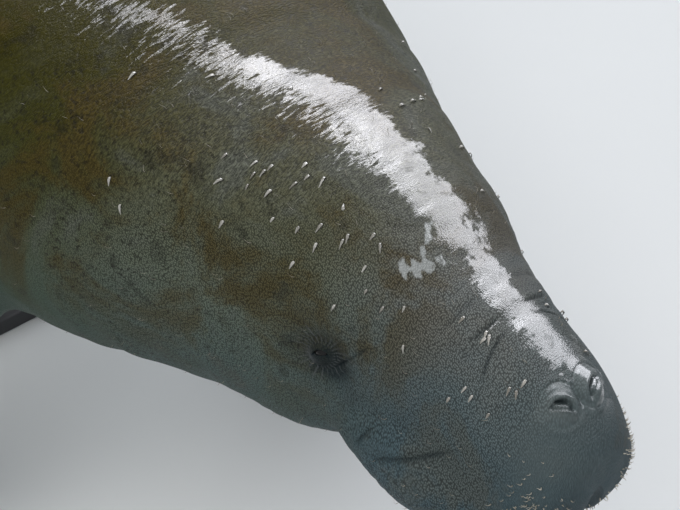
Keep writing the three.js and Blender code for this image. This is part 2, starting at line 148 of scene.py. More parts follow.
HEAD_ENDS = 330.0
EYE = {"at": 225.0, "angle": 4.0, "near": 60.0, "pit": 9.0, "rim": 0.9}
EYEBALL = {"radius": 7.6, "sunk": 6.6}
LID_SLIT = {"long": 6.4, "high": 2.1, "up": 3.0, "arch": 0.05, "tilt": math.radians(16)}
LID_MOUND = {"forward": -2.0, "up": -3.0, "radius": 12.5, "height": 4.4}
# The painted shade of the eye's hollow: an oval's middle and reach beside the eye, and the reach of a round
# patch about the eye, in millimetres
EYE_HOLLOW_SHADE = {"forward": 11.0, "up": -9.0, "long": 15.0, "high": 13.0, "round": 29.0}
# Where the painted highlight lies on the lid below the eye: middle and reach
LID_HIGHLIGHT_PATCH = {"forward": -8.0, "up": -5.0, "long": 6.0, "high": 5.5}
EYE_SPOKES = {"count": 25, "starts": 8.5, "reach": 22.0, "fade": 16.0, "height": 0.7, "ends": 40.0}
# Rings round the eye: radius, depth, half width and turn
EYE_RINGS = ((12.6, 0.9, 1.2, 0.4), (17.5, 0.7, 1.6, 1.5), (24.5, 0.6, 2.4, 2.6))
NOSTRIL = {
    "at": 38.0, "angle": 68.0, "long": 12.5, "high": 5.4, "turn": math.radians(42), "arch": -0.022,
    "deep": 8.0,
}
NOSTRIL_VALVE = {
    "back": 0.5, "across": 1.9, "long": 10.5, "high": 4.0, "height": 7.8, "grooves": 1.9, "groove": 0.5,
}
# The rim round the opening, by the opening's own size, and rings further out: height, radius, half width
NOSTRIL_RIM = {"out": 1.55, "half": 0.42, "height": 0.9, "behind": 0.3}
NOSTRIL_RINGS = ((-0.9, 19.0, 2.2), (0.5, 23.5, 2.8))
NOSTRIL_REACH = {"forms": 40.0, "wet": 25.0, "wet_fade": 7.0}

# Unevenness as sums of waves: how many, of about what length, and their draw
WAVES = {
    "lumps": (14, 150, SEED),
    "neck_folds": (16, 30, SEED + 1),
    "small": (14, 13, SEED + 2),
    "flipper_lumps": (14, 60, SEED + 5),
    "flipper_small": (14, 22, SEED + 6),
    "film_sheen_edge": (12, 8, SEED + 8),
}

# Flipper: its middle line from inside the chest to the tip, and its half width and half thickness
FLIPPER_LINE = ((655, 205, -112), (668, 300, -225), (722, 362, -345), (815, 396, -470))
FLIPPER_BREADTH = {
    "arm": 60, "root": 22, "root_ends": 0.34, "blade": 24, "blade_from": 0.22, "blade_to": 0.72,
}
FLIPPER_THICKNESS = {
    "arm": 27, "root": 24, "root_ends": 0.38, "blade": -13, "blade_from": 0.25, "blade_to": 0.9,
}
FLIPPER_TIP = {"from": 0.66, "roundness": 2.3, "calm": 0.1}
FLIPPER_TWIST = 0.25
FLIPPER_STEPS = 601
FLIPPER_RINGS = 130
FLIPPER_COLUMNS = 108
FILLET = {"reach": 46.0, "rounds": 40, "strength": 0.6, "samples": 72, "search": (0.02, 0.6, 240)}
NAILS = ((0.89, -0.55), (0.94, 0.0), (0.89, 0.55))
NAIL = {"size": (12.0, 9.0, 6.0), "flare": 0.12, "sunk": 3.0, "droop": 0.02}

# Display stand
BASE = {"length": 780.0, "width": 560.0, "thick": 28.0, "corner": 90.0, "bevel": 4.0}
ROD = {"radius": 19.0, "bevel": 0.4, "into": 6.0}
FLANGE = {"radius": 58.0, "thick": 13.0, "bevel": 3.0}
RODS = {"front": 1085.0, "rear": 1665.0}
SHARP = math.radians(40)
QUARTER = math.pi / 2

# Camera, from the photograph: where it stands, its turn about Z, height angle, roll and focal length
CAMERA = {"place": (1745.6, -641.8, 1492.2), "azimuth": 47.35, "elevation": 42.90, "roll": 3.18}
FOCAL_PIXELS = 1380.0
PHOTO_WIDTH = 680
SENSOR = 36.0


def smooth(x):
    x = np.clip(x, 0.0, 1.0)
    return x * x * (3 - 2 * x)


def bell(x, half):
    return np.exp(-((x / half) ** 2))


def unit(v):
    return v / (np.linalg.norm(v, axis=-1, keepdims=True) + 1e-12)


def mirrored(p):
    """Points with their right side folded over to the left."""
    return np.stack([p[..., 0], np.abs(p[..., 1]), p[..., 2]], -1)


# The body's form, the same as the solids'. Angle 0 is the left side, a quarter turn is the back.
def section(u):
    """Rows of SECTIONS joined by a cubic through them. Past each end the shape is mirrored."""
    ahead = np.where(IS_SIZE, -SECTIONS[1], SECTIONS[1])
    behind = np.where(IS_SIZE, -SECTIONS[LAST - 1], SECTIONS[LAST - 1])
    rows = np.vstack([ahead, SECTIONS, behind])
    u = np.clip(np.asarray(u, float), 0, LAST - 1e-9)
    i = np.floor(u).astype(int)
    f = (u - i)[..., None]
    p0, p1, p2, p3 = rows[i], rows[i + 1], rows[i + 2], rows[i + 3]
    m1, m2 = (p2 - p0) / 2, (p3 - p1) / 2
    start = (2 * f**3 - 3 * f**2 + 1) * p1 + (f**3 - 2 * f**2 + f) * m1
    return start + (3 * f**2 - 2 * f**3) * p2 + (f**3 - f**2) * m2


FINE_U = np.linspace(0, LAST, 44001)
FINE_PLACES = section(FINE_U)[:, 0]


def section_at(place):
    return np.interp(place, FINE_PLACES, FINE_U)


def plain_points(u, angle):
    u, angle = np.broadcast_arrays(u, angle)
    at, width, middle, up, down, squareness, pear = np.moveaxis(section(u), -1, 0)
    c, s = np.cos(angle), np.sin(angle)
    k = (np.abs(c) ** squareness + np.abs(s) ** squareness) ** (-1 / squareness)
    y = width * c * k * (1 - pear * s * k)
    return np.stack([at, y, middle + np.where(s >= 0, up, down) * s * k], -1)


SLOPE_STEP = 0.01
NEAREST_TO_SNOUT = 0.001


def plain_normals(u, angle):
    ahead = np.maximum(u - SLOPE_STEP, NEAREST_TO_SNOUT)
    along = plain_points(u + SLOPE_STEP, angle) - plain_points(ahead, angle)
    around = plain_points(u, angle + SLOPE_STEP) - plain_points(u, angle - SLOPE_STEP)
    return unit(np.cross(around, along))


def relief(p):
    """Height of the swellings and cross creases over the plain form."""
    height = np.zeros(p.shape[:-1])
    beside = np.abs(p[..., 1])
    for middle, reach, rise in SWELLINGS.values():
        far = ((p[..., 0] - middle[0]) / reach[0]) ** 2 + ((beside - middle[1]) / reach[1]) ** 2
        far = far + ((p[..., 2] - middle[2]) / reach[2]) ** 2
        height += rise * np.clip(1 - far, 0, None) ** 2
    for at, half, depth, above in CROSS_CREASES:
        across = np.clip(1 - ((p[..., 0] - at) / half) ** 2, 0, None) ** 2
        height -= depth * across * smooth((p[..., 2] - above) / CREASE_FADE)
    return height


def pitch(at):
    head = HEAD_PITCH * smooth((HEAD_PITCH_ENDS - at) / HEAD_PITCH_ENDS)
    tail = TAIL_DROOP * smooth((at - TAIL_DROOP_FROM) / (TAIL_DROOP_TO - TAIL_DROOP_FROM))
    return head + tail - PADDLE_LIFT * smooth((at - PADDLE_LIFT_FROM) / (LENGTH - PADDLE_LIFT_FROM))


AXIS_PLACES = np.arange(0, LENGTH + 3 * AXIS_STEP, AXIS_STEP)
AXIS_TURNS = pitch(AXIS_PLACES[:-1] + AXIS_STEP / 2)
AXIS_X = np.concatenate([[0], np.cumsum(-np.cos(AXIS_TURNS) * AXIS_STEP)])
AXIS_Z = np.concatenate([[0], np.cumsum(-np.sin(AXIS_TURNS) * AXIS_STEP)])
AXIS_X -= np.interp(ORIGIN_AT, AXIS_PLACES, AXIS_X)
AXIS_Z -= np.interp(ORIGIN_AT, AXIS_PLACES, AXIS_Z)


def bend(p):
    """Straight coordinates (place along the body, left, up) to the model's frame."""
    at, z = p[..., 0], p[..., 2]
    turn = pitch(at)
    x = np.interp(at, AXIS_PLACES, AXIS_X) - np.sin(turn) * z
    return np.stack([x, p[..., 1], LEVEL + np.interp(at, AXIS_PLACES, AXIS_Z) + np.cos(turn) * z], -1)


def unbend(q):
    """The model's frame back to straight coordinates, by Newton's method."""
    at = np.interp(-q[..., 0], -AXIS_X, AXIS_PLACES)
    for step in range(NEWTON_STEPS + 1):
        turn = pitch(at)
        dx = q[..., 0] - np.interp(at, AXIS_PLACES, AXIS_X)
        dz = q[..., 2] - LEVEL - np.interp(at, AXIS_PLACES, AXIS_Z)
        if step < NEWTON_STEPS:
            at = np.clip(at - (np.cos(turn) * dx + np.sin(turn) * dz), -50, LENGTH + 10)
    return np.stack([at, q[..., 1], -np.sin(turn) * dx + np.cos(turn) * dz], -1)


def side_angle(degrees, side):
    """Angles round the body from degrees above the widest line of a side."""
    return np.radians(np.where(side > 0, degrees, 180 - degrees))


def on_skin(place, degrees, side):
    """A point of the relief, its outward direction and its place before bending."""
    u, angle = section_at(place), side_angle(degrees, side)
    p = plain_points(u, angle)
    n = plain_normals(u, angle)
    straight = p + n * relief(p)
    return bend(straight), unit(bend(p + n) - bend(p)), straight


# Fine forms of the head, as heights along the skin's outward direction
def waves(p, name):
    """Smooth noise about 0, of unit spread: a sum of waves of about one length, in random directions."""
    count, size, seed = WAVES[name]
    draw = np.random.default_rng(seed)
    total = np.zeros(p.shape[:-1])
    for _ in range(count):
        way = unit(draw.normal(size=3)) * (2 * math.pi / (size * draw.uniform(0.7, 1.5)))
        total += np.cos(p @ way + draw.uniform(0, 2 * math.pi))
    return total * math.sqrt(2.0 / count)


def line_distance(p, points):
    """Distance to a line of points, and how far along it the nearest point is, from 0 to 1."""
    points = np.asarray(points, float)
    lengths = np.linalg.norm(np.diff(points, axis=0), axis=1)
    best = np.full(p.shape[:-1], 1e9)
    along = np.zeros(p.shape[:-1])
    run = 0.0
    for a, b, length in zip(points[:-1], points[1:], lengths):
        f = np.clip(((p - a) @ (b - a)) / length**2, 0, 1)
        far = np.linalg.norm(p - (a + f[..., None] * (b - a)), axis=-1)
        near = far < best
        best = np.where(near, far, best)
        along = np.where(near, (run + f * length) / lengths.sum(), along)
        run += length
    return best, along


def head_folds(p):
    """Depth of the named folds, fading at their ends."""
    height = np.zeros(p.shape[:-1])
    for depth, half, points in HEAD_FOLDS.values():
        far, along = line_distance(mirrored(p), points)
        ends = smooth((1 - along) / FOLD["ends"]) * smooth(along / FOLD["ends"])
        swell = bell(far - FOLD["swell_off"] * half, FOLD["swell_half"] * half)
        height += depth * ends * (FOLD["swell"] * swell - bell(far, half))
    return height


MOUTH_POINTS = np.array([on_skin(at, -degrees, 1)[2] for at, degrees in MOUTH])


def mouth_groove(p):
    far, along = line_distance(mirrored(p), MOUTH_POINTS)
    g = MOUTH_GROOVE
    lips = g["lip"] * bell(far - g["lip_off"], g["lip_half"])
    return smooth(along / g["corner"]) * (lips - g["depth"] * bell(far, g["half"]))


def beside_eye(p, side):
    """Forward and upward distance from an eye's middle."""
    centre = on_skin(EYE["at"], EYE["angle"], side)[2]
    near = np.abs(p[..., 1] - centre[1]) < EYE["near"]
    return np.where(near, centre[0] - p[..., 0], 1e3), np.where(near, p[..., 2] - centre[2], 1e3)


def lid_slit(forward, up):
    """Below 1 inside the slit between the lids, which bows up and rises a little to the front."""
    tilt = LID_SLIT["tilt"]
    along = forward * math.cos(tilt) + up * math.sin(tilt)
    across = up * math.cos(tilt) - forward * math.sin(tilt)
    middle = LID_SLIT["up"] - LID_SLIT["arch"] * along**2
    return (along / LID_SLIT["long"]) ** 2 + ((across - middle) / LID_SLIT["high"]) ** 2


def eye_spokes(r, turn):
    """Fine crests that run out from the eye, from 0 to 1, unevenly spaced and of uneven length."""
    s = EYE_SPOKES
    spokes = np.cos(s["count"] * turn + 0.9 * np.sin(2 * turn) + 0.7 * np.sin(5 * turn))
    reach = s["reach"] + 4 * np.sin(turn * 3 + 1) + 3 * np.sin(turn * 7)
    fade = smooth((r - s["starts"]) / 4) * smooth((reach + 9 - r) / s["fade"])
    return 0.5 + (np.clip(spokes, 0, 1) ** 1.5 - 0.5) * fade


def eye_forms(p):
    """The lids' mound and slit, the spokes and the rings round it."""
    height = np.zeros(p.shape[:-1])
    for side in SIDES.values():
        forward, up = beside_eye(p, side)
        r = np.hypot(forward, up)
        turn = np.arctan2(up, forward)
        from_mound = np.hypot(forward - LID_MOUND["forward"], up - LID_MOUND["up"]) / LID_MOUND["radius"]
        lids = LID_MOUND["height"] * np.clip(1 - from_mound**2, 0, None) ** 2
        radial = EYE_SPOKES["height"] * (eye_spokes(r, turn) - 0.5)
        rings = sum(
            -depth * bell(r - radius - 1.2 * np.sin(2 * turn + shift), half)
            for radius, depth, half, shift in EYE_RINGS
        )
        slit = lid_slit(forward, up)
        rim = EYE["rim"] * bell(np.sqrt(slit) - 1.5, 0.35)
        pit = -EYE["pit"] * smooth((1.18 - slit) / 0.5)
        height += np.where(r < EYE["near"], lids + radial + rings + rim + pit, 0)
    return height


def beside_nostril(p, side):
    """Distances from a nostril's middle along its opening and across it, and the plain distance."""
    _, _, centre = on_skin(NOSTRIL["at"], NOSTRIL["angle"], side)
    normal = plain_normals(section_at(NOSTRIL["at"]), side_angle(NOSTRIL["angle"], side))
    ahead = unit(np.array([-1.0, 0, 0]) + normal * normal[0])
    inward = unit(np.cross(normal, ahead))
    if inward[1] * side > 0:
        inward = -inward
    turn = NOSTRIL["turn"]
    long_way = math.cos(turn) * inward + math.sin(turn) * ahead
    cross_way = math.cos(turn) * ahead - math.sin(turn) * inward
    d = p - centre
    return d @ long_way, d @ cross_way, np.linalg.norm(d, axis=-1)


def nostril_slit(along, across):
    """Below 1 inside the opening, a crescent with its ends bent forward."""
    return (along / NOSTRIL["long"]) ** 2 + ((across + NOSTRIL["arch"] * along**2) / NOSTRIL["high"]) ** 2


def nostril_valve(along, across):
    """The share, from 0 to 1, of the fleshy valve that fills the front of the opening."""
    v = NOSTRIL_VALVE
    return np.exp(-(((along + v["back"]) / v["long"]) ** 4) - ((across - v["across"]) / v["high"]) ** 4)


def nostril_forms(p):
    """The opening, the fleshy valve in its front half, the rim and the rings round it."""
    height = np.zeros(p.shape[:-1])
    v, r = NOSTRIL_VALVE, NOSTRIL_RIM
    for side in SIDES.values():
        along, across, far = beside_nostril(p, side)
        slit = nostril_slit(along, across)
        behind = smooth((2.0 - across) / 6.0)
        rim = (r["height"] + r["behind"] * behind) * bell(np.sqrt(slit) - r["out"], r["half"])
        pit = -NOSTRIL["deep"] * smooth((1.12 - slit) / 0.7)
        grooves = v["groove"] * (1 + np.cos(v["grooves"] * (along + 0.5 * across)))
        valve = nostril_valve(along, across) * (v["height"] - grooves) * smooth((1.3 - slit) / 0.6)
        rings = sum(rise * bell(far - radius, half) for rise, radius, half in NOSTRIL_RINGS)
        height += np.where(far < NOSTRIL_REACH["forms"], rim + pit + valve + rings, 0)
    return height


def skin_waves(p):
    """Unevenness of the flesh and the loose folds of the neck, weaker on the tail."""
    at = p[..., 0]
    on_body = smooth((at - 260) / 200) * smooth((2300 - at) / 500)
    around_neck = smooth((at - 230) / 120) * smooth((1150 - at) / 500)
    on_head = smooth((at - 60) / 60) * smooth((420 - at) / 160)
    lumps = 1.5 * waves(p, "lumps") * (0.35 + 0.65 * on_body)
    folds = 0.3 * waves(p * np.array([1, 0.22, 0.22]), "neck_folds") * around_neck
    return lumps + folds + 0.2 * waves(p * np.array([1, 0.45, 0.45]), "small") * on_head


def skin_points(u, angle):
    """Points of the finished skin, of its form without the head's folds, and the outward directions."""
    p, n = plain_points(u, angle), plain_normals(u, angle)
    form = p + n * (relief(p) + skin_waves(p))[..., None]
    head = form[..., 0] < HEAD_ENDS
    h = form[head]
    detail = np.zeros(form.shape[:-1])
    detail[head] = head_folds(h) + mouth_groove(h) + eye_forms(h) + nostril_forms(h)
    return form + n * detail[..., None], form, n


# Grids. Along the body: place and spacing of the rings. Round it: middle, half width and how much denser.
RING_SPACING = (
    (0.25, 0.5), (5, 1.0), (14, 1.3), (22, 0.95), (54, 0.95), (64, 1.2), (200, 1.3), (208, 0.75), (243, 0.75),
    (256, 2.0), (330, 2.6), (560, 3.6), (800, 4.5), (1000, 8.5), (2000, 8.5), (2780, 7.5), (2870, 2.5),
    (2899.6, 0.7),
)
COLUMNS = 432
FINE_COLUMNS = ((4, 8, 2.0), (176, 8, 2.0), (68, 14, 0.9), (112, 14, 0.9), (-60, 22, 0.35), (-120, 22, 0.35))


def ring_places():
    """Places along the body whose spacing runs smoothly from one of RING_SPACING to the next."""
    at, spacing = np.array(RING_SPACING, float).T
    places = [at[0]]
    while places[-1] < at[-1]:
        places.append(places[-1] + np.interp(places[-1], at, spacing))
    places = np.array(places)
    return places * (at[-1] / places[-1])


def column_angles():
    """Angles round the body, closer together at the eyes, nostrils and mouth."""
    degrees = np.linspace(-180, 180, 7201)
    density = np.ones_like(degrees)
    for middle, half, more in FINE_COLUMNS:
        density += more * bell((degrees - middle + 180) % 360 - 180, half)
    share = np.concatenate([[0], np.cumsum((density[1:] + density[:-1]) / 2)])
    share /= share[-1]
    return np.radians(np.interp(np.arange(COLUMNS) / COLUMNS, share, degrees))


def new_object(name, points, faces, flat=False):
    """A mesh object from points in millimetres and rows of corner numbers, 3 or 4 to a face."""
    mesh = bpy.data.meshes.new(name)
    faces = [np.asarray(f, np.int32) for f in faces]
    corners = np.concatenate([f.ravel() for f in faces])
    sizes = np.concatenate([np.full(len(f), f.shape[1], np.int32) for f in faces])
    mesh.vertices.add(len(points))
    mesh.vertices.foreach_set("co", (np.asarray(points) * MM).astype(np.float32).ravel())
    mesh.loops.add(len(corners))
    mesh.loops.foreach_set("vertex_index", corners)
    mesh.polygons.add(len(sizes))
    mesh.polygons.foreach_set("loop_start", np.concatenate([[0], np.cumsum(sizes)[:-1]]).astype(np.int32))
    mesh.polygons.foreach_set("use_smooth", np.full(len(sizes), not flat))
    mesh.update(calc_edges=True)
    thing = bpy.data.objects.new(name, mesh)
    bpy.context.scene.collection.objects.link(thing)
    return thing


def six_volumes(points, faces):
    """Six times the volume that a closed surface's faces enclose, below 0 where they face inward."""
    corners = points[faces]
    total = 0.0
    for k in range(1, faces.shape[1] - 1):
        total += np.einsum("ij,ij->i", corners[:, 0], np.cross(corners[:, k], corners[:, k + 1])).sum()
    return total


def closed_tube(rings, first, last):
    """Points and faces of a tube of rings, closed by a point at each end, its faces outward."""
    count, around = rings.shape[:2]
    points = np.vstack([rings.reshape(-1, 3), first, last])
    i, j = np.meshgrid(np.arange(count - 1), np.arange(around), indexing="ij")
    a = (i * around + j).ravel()
    b = (i * around + (j + 1) % around).ravel()
    quads = np.stack([a, b, b + around, a + around], 1)
    k = np.arange(around)
    after = (k + 1) % around
    start, base = count * around, (count - 1) * around
    front = np.stack([np.full(around, start), after, k], 1)
    back = np.stack([np.full(around, start + 1), base + k, base + after], 1)
    tris = np.vstack([front, back])
    if six_volumes(points, tris) + six_volumes(points, quads) < 0:
        quads, tris = quads[:, ::-1], tris[:, ::-1]
    return points, [quads, tris]


def body_skin():
    """The body's skin, with its points on the head and the same points before the folds."""
    places = ring_places()
    skin, form, _ = skin_points(section_at(places)[:, None], column_angles()[None, :])
    ends = bend(plain_points(np.array([0.0, LAST]), np.array([0.0, 0.0])))
    head = places < HEAD_ENDS
    body = new_object("skin", *closed_tube(bend(skin), ends[:1], ends[1:]))
    return body, bend(skin[head]).reshape(-1, 3), form[head].reshape(-1, 3)


# Flippers
def between(t, start, end, a, b):
    return ((end - t) * a + (t - start) * b) / (end - start)


def smooth_line(points, count):
    """Points at even steps of length along a centripetal curve through a few points, with its directions."""
    p = np.vstack([2 * points[0] - points[1], points, 2 * points[-1] - points[-2]])
    pieces = []
    for k in range(len(points) - 1):
        level = p[k:k + 4]
        gaps = np.sqrt(np.linalg.norm(np.diff(level, axis=0), axis=1))
        knot = np.concatenate([[0], np.cumsum(gaps)])
        t = np.linspace(knot[1], knot[2], 200, endpoint=k == len(points) - 2)[:, None]
        for wide in (1, 2):
            level = [between(t, knot[i], knot[i + wide], level[i], level[i + 1]) for i in range(4 - wide)]
        pieces.append(between(t, knot[1], knot[2], level[0], level[1]))
    line = np.vstack(pieces)
    run = np.concatenate([[0], np.cumsum(np.linalg.norm(np.diff(line, axis=0), axis=1))])
    even = np.linspace(0, run[-1], count)
    line = np.stack([np.interp(even, run, line[:, c]) for c in range(3)], -1)
    return line, unit(np.gradient(line, axis=0))


def flipper_line(side):
    return smooth_line(bend(np.array([(at, y * side, z) for at, y, z in FLIPPER_LINE], float)), FLIPPER_STEPS)


def flipper_half(size, s):
    """Half breadth or half thickness at a share of the flipper's length."""
    root = size["root"] * (1 - smooth(s / size["root_ends"]))
    blade = size["blade"] * smooth((s - size["blade_from"]) / (size["blade_to"] - size["blade_from"]))
    past = np.clip((s - FLIPPER_TIP["from"]) / (1 - FLIPPER_TIP["from"]), 0, 1)
    power = FLIPPER_TIP["roundness"]
    return (size["arm"] + root + blade) * (1 - past**power) ** (1 / power)


def flipper_frame(side, s):
    """The middle of the flipper at shares of its length, and the ways across its breadth and out of it."""
    line, ways = flipper_line(side)
    steps = np.linspace(0, 1, FLIPPER_STEPS)
    middle, along = (np.stack([np.interp(s, steps, v[:, c]) for c in range(3)], -1) for v in (line, ways))
    along = unit(along)
    edge = np.array([1, FLIPPER_TWIST * side, 0])
    across = unit(edge - along * (along @ edge)[..., None])
    out = unit(np.cross(along, across))
    return middle, across, np.where((out[..., 1:2] * side) < 0, -out, out)


def flipper_points(side, s, angle):
    middle, across, out = flipper_frame(side, s)
    wide = flipper_half(FLIPPER_BREADTH, s)[..., None]
    thick = flipper_half(FLIPPER_THICKNESS, s)[..., None]
    return middle + across * wide * np.cos(angle)[..., None] + out * thick * np.sin(angle)[..., None]


def make_flipper(name, side):
    s = np.sin(np.linspace(0, QUARTER, FLIPPER_RINGS))[:-1] * 0.9998
    angle = np.arange(FLIPPER_COLUMNS) * 2 * math.pi / FLIPPER_COLUMNS
    s_grid, angle_grid = np.meshgrid(s, angle, indexing="ij")
    rings = flipper_points(side, s_grid, angle_grid)
    straight = unbend(rings)
    middle = rings.mean(1, keepdims=True)
    lumps = 0.9 * waves(straight, "flipper_lumps") + 0.5 * waves(straight * [1, 1, 2.2], "flipper_small")
    fade = smooth((1 - s_grid) / FLIPPER_TIP["calm"])
    rings = rings + unit(rings - middle) * (lumps * fade)[..., None]
    tip = flipper_frame(side, np.array([1.0]))[0]
    return new_object(name, *closed_tube(rings, rings[0].mean(0, keepdims=True), tip))


# One skin
def join(body, others):
    """Joins the others on to the body, by one union each."""
    for other in others:
        union = body.modifiers.new("union", "BOOLEAN")
        union.operation = "UNION"
        union.solver = "MANIFOLD"
        union.object = other
        depsgraph = bpy.context.evaluated_depsgraph_get()
        mesh = bpy.data.meshes.new_from_object(body.evaluated_get(depsgraph))
        body.modifiers.clear()
        body.data = mesh
        bpy.data.objects.remove(other)
    body.data.name = "skin"


def positions(mesh):
    co = np.empty(len(mesh.vertices) * 3, np.float32)
    mesh.vertices.foreach_get("co", co)
    return co.reshape(-1, 3).astype(float) / MM


def move_points(mesh, points):
    mesh.vertices.foreach_set("co", (points * MM).astype(np.float32).ravel())
    mesh.update()


def soften(mesh, weight):
    """Moves points towards the middle of their neighbours, where their weight is above 0."""
    p = positions(mesh)
    ends = np.empty(len(mesh.edges) * 2, np.int32)
    mesh.edges.foreach_get("vertices", ends)
    a, b = ends.reshape(-1, 2).T
    near = (weight[a] > 0) | (weight[b] > 0)
    a, b = a[near], b[near]
    active = np.unique(np.concatenate([a, b]))
    number = np.full(len(p), -1)
    number[active] = np.arange(len(active))
    a, b = number[a], number[b]
    both = np.concatenate([a, b])
    local = p[active]
    w = (weight[active] * FILLET["strength"])[:, None]
    count = np.bincount(both, minlength=len(active))[:, None]
    for _ in range(FILLET["rounds"]):
        sums = [np.bincount(both, np.concatenate([local[b, c], local[a, c]]), len(active)) for c in range(3)]
        local = local + w * (np.stack(sums, 1) / count - local)
    p[active] = local
    move_points(mesh, p)


def flipper_root_ring(side):
    """Points where the flipper's outline leaves the chest, found by walking out along it."""
    ring = []
    for angle in np.arange(FILLET["samples"]) * 2 * math.pi / FILLET["samples"]:
        s = np.linspace(*FILLET["search"])
        p = unbend(flipper_points(side, s, np.full_like(s, angle)))
        _, width, middle, up, down, power, _ = np.moveaxis(section(section_at(p[:, 0])), -1, 0)
        z = p[:, 2] - middle
        size = (np.abs(p[:, 1]) / width) ** power + (np.abs(z) / np.where(z > 0, up, down)) ** power
        ring.append(bend(p[np.argmax(size > 1)]))
    return np.array(ring)


def seam_distance(p):
    """Distance of points to the nearer flipper's root, where it is within the fillet's reach."""
    reach = FILLET["reach"]
    far = np.full(len(p), 1e9)
    for side in SIDES.values():
        ring = flipper_root_ring(side)
        inside = np.all((p > ring.min(0) - reach) & (p < ring.max(0) + reach), axis=1)
        q = p[inside]
        near = np.full(len(q), 1e9)
        for point in ring:
            near = np.minimum(near, np.linalg.norm(q - point, axis=1))
        far[inside] = np.minimum(far[inside], near)
    return far


ARC_PLACES = 600
ARC_ANGLES = 181
OFF_BODY = (1.08, 0.12)


def flat_place(straight):
    """Place along the body, distance round it from the back's ridge, and how far off the body, 0 to 1."""
    places = np.linspace(0, LENGTH, ARC_PLACES)
    angles = np.linspace(QUARTER, -QUARTER, ARC_ANGLES)
    grid = plain_points(section_at(places)[:, None], angles[None, :])
    steps = np.linalg.norm(np.diff(grid, axis=1), axis=2)
    arcs = np.concatenate([np.zeros((ARC_PLACES, 1)), np.cumsum(steps, axis=1)], 1)
    at = straight[:, 0]
    _, width, middle, up, down, squareness, pear = np.moveaxis(section(section_at(at)), -1, 0)
    z = straight[:, 2] - middle
    high = z / np.maximum(np.where(z > 0, up, down), 1)
    wide = np.abs(straight[:, 1]) / np.maximum(width * (1 - pear * np.clip(high, -1, 1)), 1)
    i = np.clip(at / LENGTH * (ARC_PLACES - 1), 0, ARC_PLACES - 1.001)
    j = np.clip((QUARTER - np.arctan2(high, wide)) / math.pi * (ARC_ANGLES - 1), 0, ARC_ANGLES - 1.001)
    i0, j0 = i.astype(int), j.astype(int)
    fi, fj = i - i0, j - j0
    near, next_on = ((1 - fj) * arcs[row, j0] + fj * arcs[row, j0 + 1] for row in (i0, i0 + 1))
    arc = (1 - fi) * near + fi * next_on
    size = (wide**squareness + np.abs(high) ** squareness) ** (1 / squareness)
    return np.stack([at * MM, arc * MM, smooth((size - OFF_BODY[0]) / OFF_BODY[1])], -1)


def store(mesh, name, values):
    """A named value, or a vector of three, at each point, for the materials to read."""
    kind, field = ("FLOAT_VECTOR", "vector") if values.ndim == 2 else ("FLOAT", "value")
    attribute = mesh.attributes.new(name, kind, "POINT")
    attribute.data.foreach_set(field, values.astype(np.float32).ravel())


def film_sheen_mask(form):
    """The patches of water beside the strip, with uneven edges, where the gloss and a painted reflection of
    the water's sheen lie.
    """
    film_sheen = np.zeros(len(form))
    from_above = np.stack([form[:, 0], np.abs(form[:, 1])], -1)
    edge = FILM_SHEEN["edge"] * waves(form, "film_sheen_edge")
    for half, points in FILM_SHEEN_PATCHES:
        far, _ = line_distance(from_above, points)
        film_sheen = np.maximum(film_sheen, smooth((half + edge - far) / FILM_SHEEN["fade"]))
    return film_sheen * (form[:, 2] > FILM_SHEEN["above"]) * (form[:, 1] < 0)


def oval(forward, up, patch):
    """A soft oval of a patch's size, 1 in its middle."""
    along, across = (forward - patch["forward"]) / patch["long"], (up - patch["up"]) / patch["high"]
    return np.exp(-(along**2) - across**2)


def head_masks(form):
    """How much painted shade lies in the folds, openings and eye hollows, how much painted highlight on the
    eyes' crests and lids, how wet each point is near a nostril, and where the water's patches lie with their
    painted reflection, from 0 to 1.
    """
    far, _ = line_distance(mirrored(form), MOUTH_POINTS)
    # Painted shade in the folds and along the mouth's line, below in the slit between the lids and in the
    # nostrils' openings
    fold_shade = -np.minimum(head_folds(form), 0) / 2.0 + 1.4 * bell(far, 3.6)
    shade, pale, wet = (np.zeros(len(form)) for _ in range(3))
    for side in SIDES.values():
        forward, up = beside_eye(form, side)
        r, turn = np.hypot(forward, up), np.arctan2(up, forward)
        fold_shade += 1.2 * smooth((1.6 - lid_slit(forward, up)) / 0.7)
        # Painted shade in and round the eye's hollow
        shade += oval(forward, up, EYE_HOLLOW_SHADE)
        shade += 0.8 * bell(r, EYE_HOLLOW_SHADE["round"])
        # Painted highlight on the crests of the spokes and on the lid
        pale += np.where(r < EYE_SPOKES["ends"], 0.9 * np.clip(2 * eye_spokes(r, turn) - 1, 0, 1), 0)
        pale += 0.9 * oval(forward, up, LID_HIGHLIGHT_PATCH)
        along, across, far = beside_nostril(form, side)
        slit = nostril_slit(along, across)
        # Painted shade in the nostril's opening, less on its valve
        fold_shade += 1.1 * smooth((0.95 - slit) / 0.6) * (1 - 0.85 * nostril_valve(along, across))
        zone = smooth((NOSTRIL_REACH["wet"] - far) / NOSTRIL_REACH["wet_fade"])
        on_rim = np.where(far < NOSTRIL_REACH["wet"], bell(np.sqrt(slit) - 1.6, 0.45), 0)
        wet += np.maximum(0.4 * zone, on_rim)
    masks = {"fold_shade": fold_shade, "eye_shade": shade, "eye_crest_highlight": pale, "nostril_wet": wet, "film_sheen": film_sheen_mask(form)}
    return {name: np.clip(mask, 0, 1) for name, mask in masks.items()}


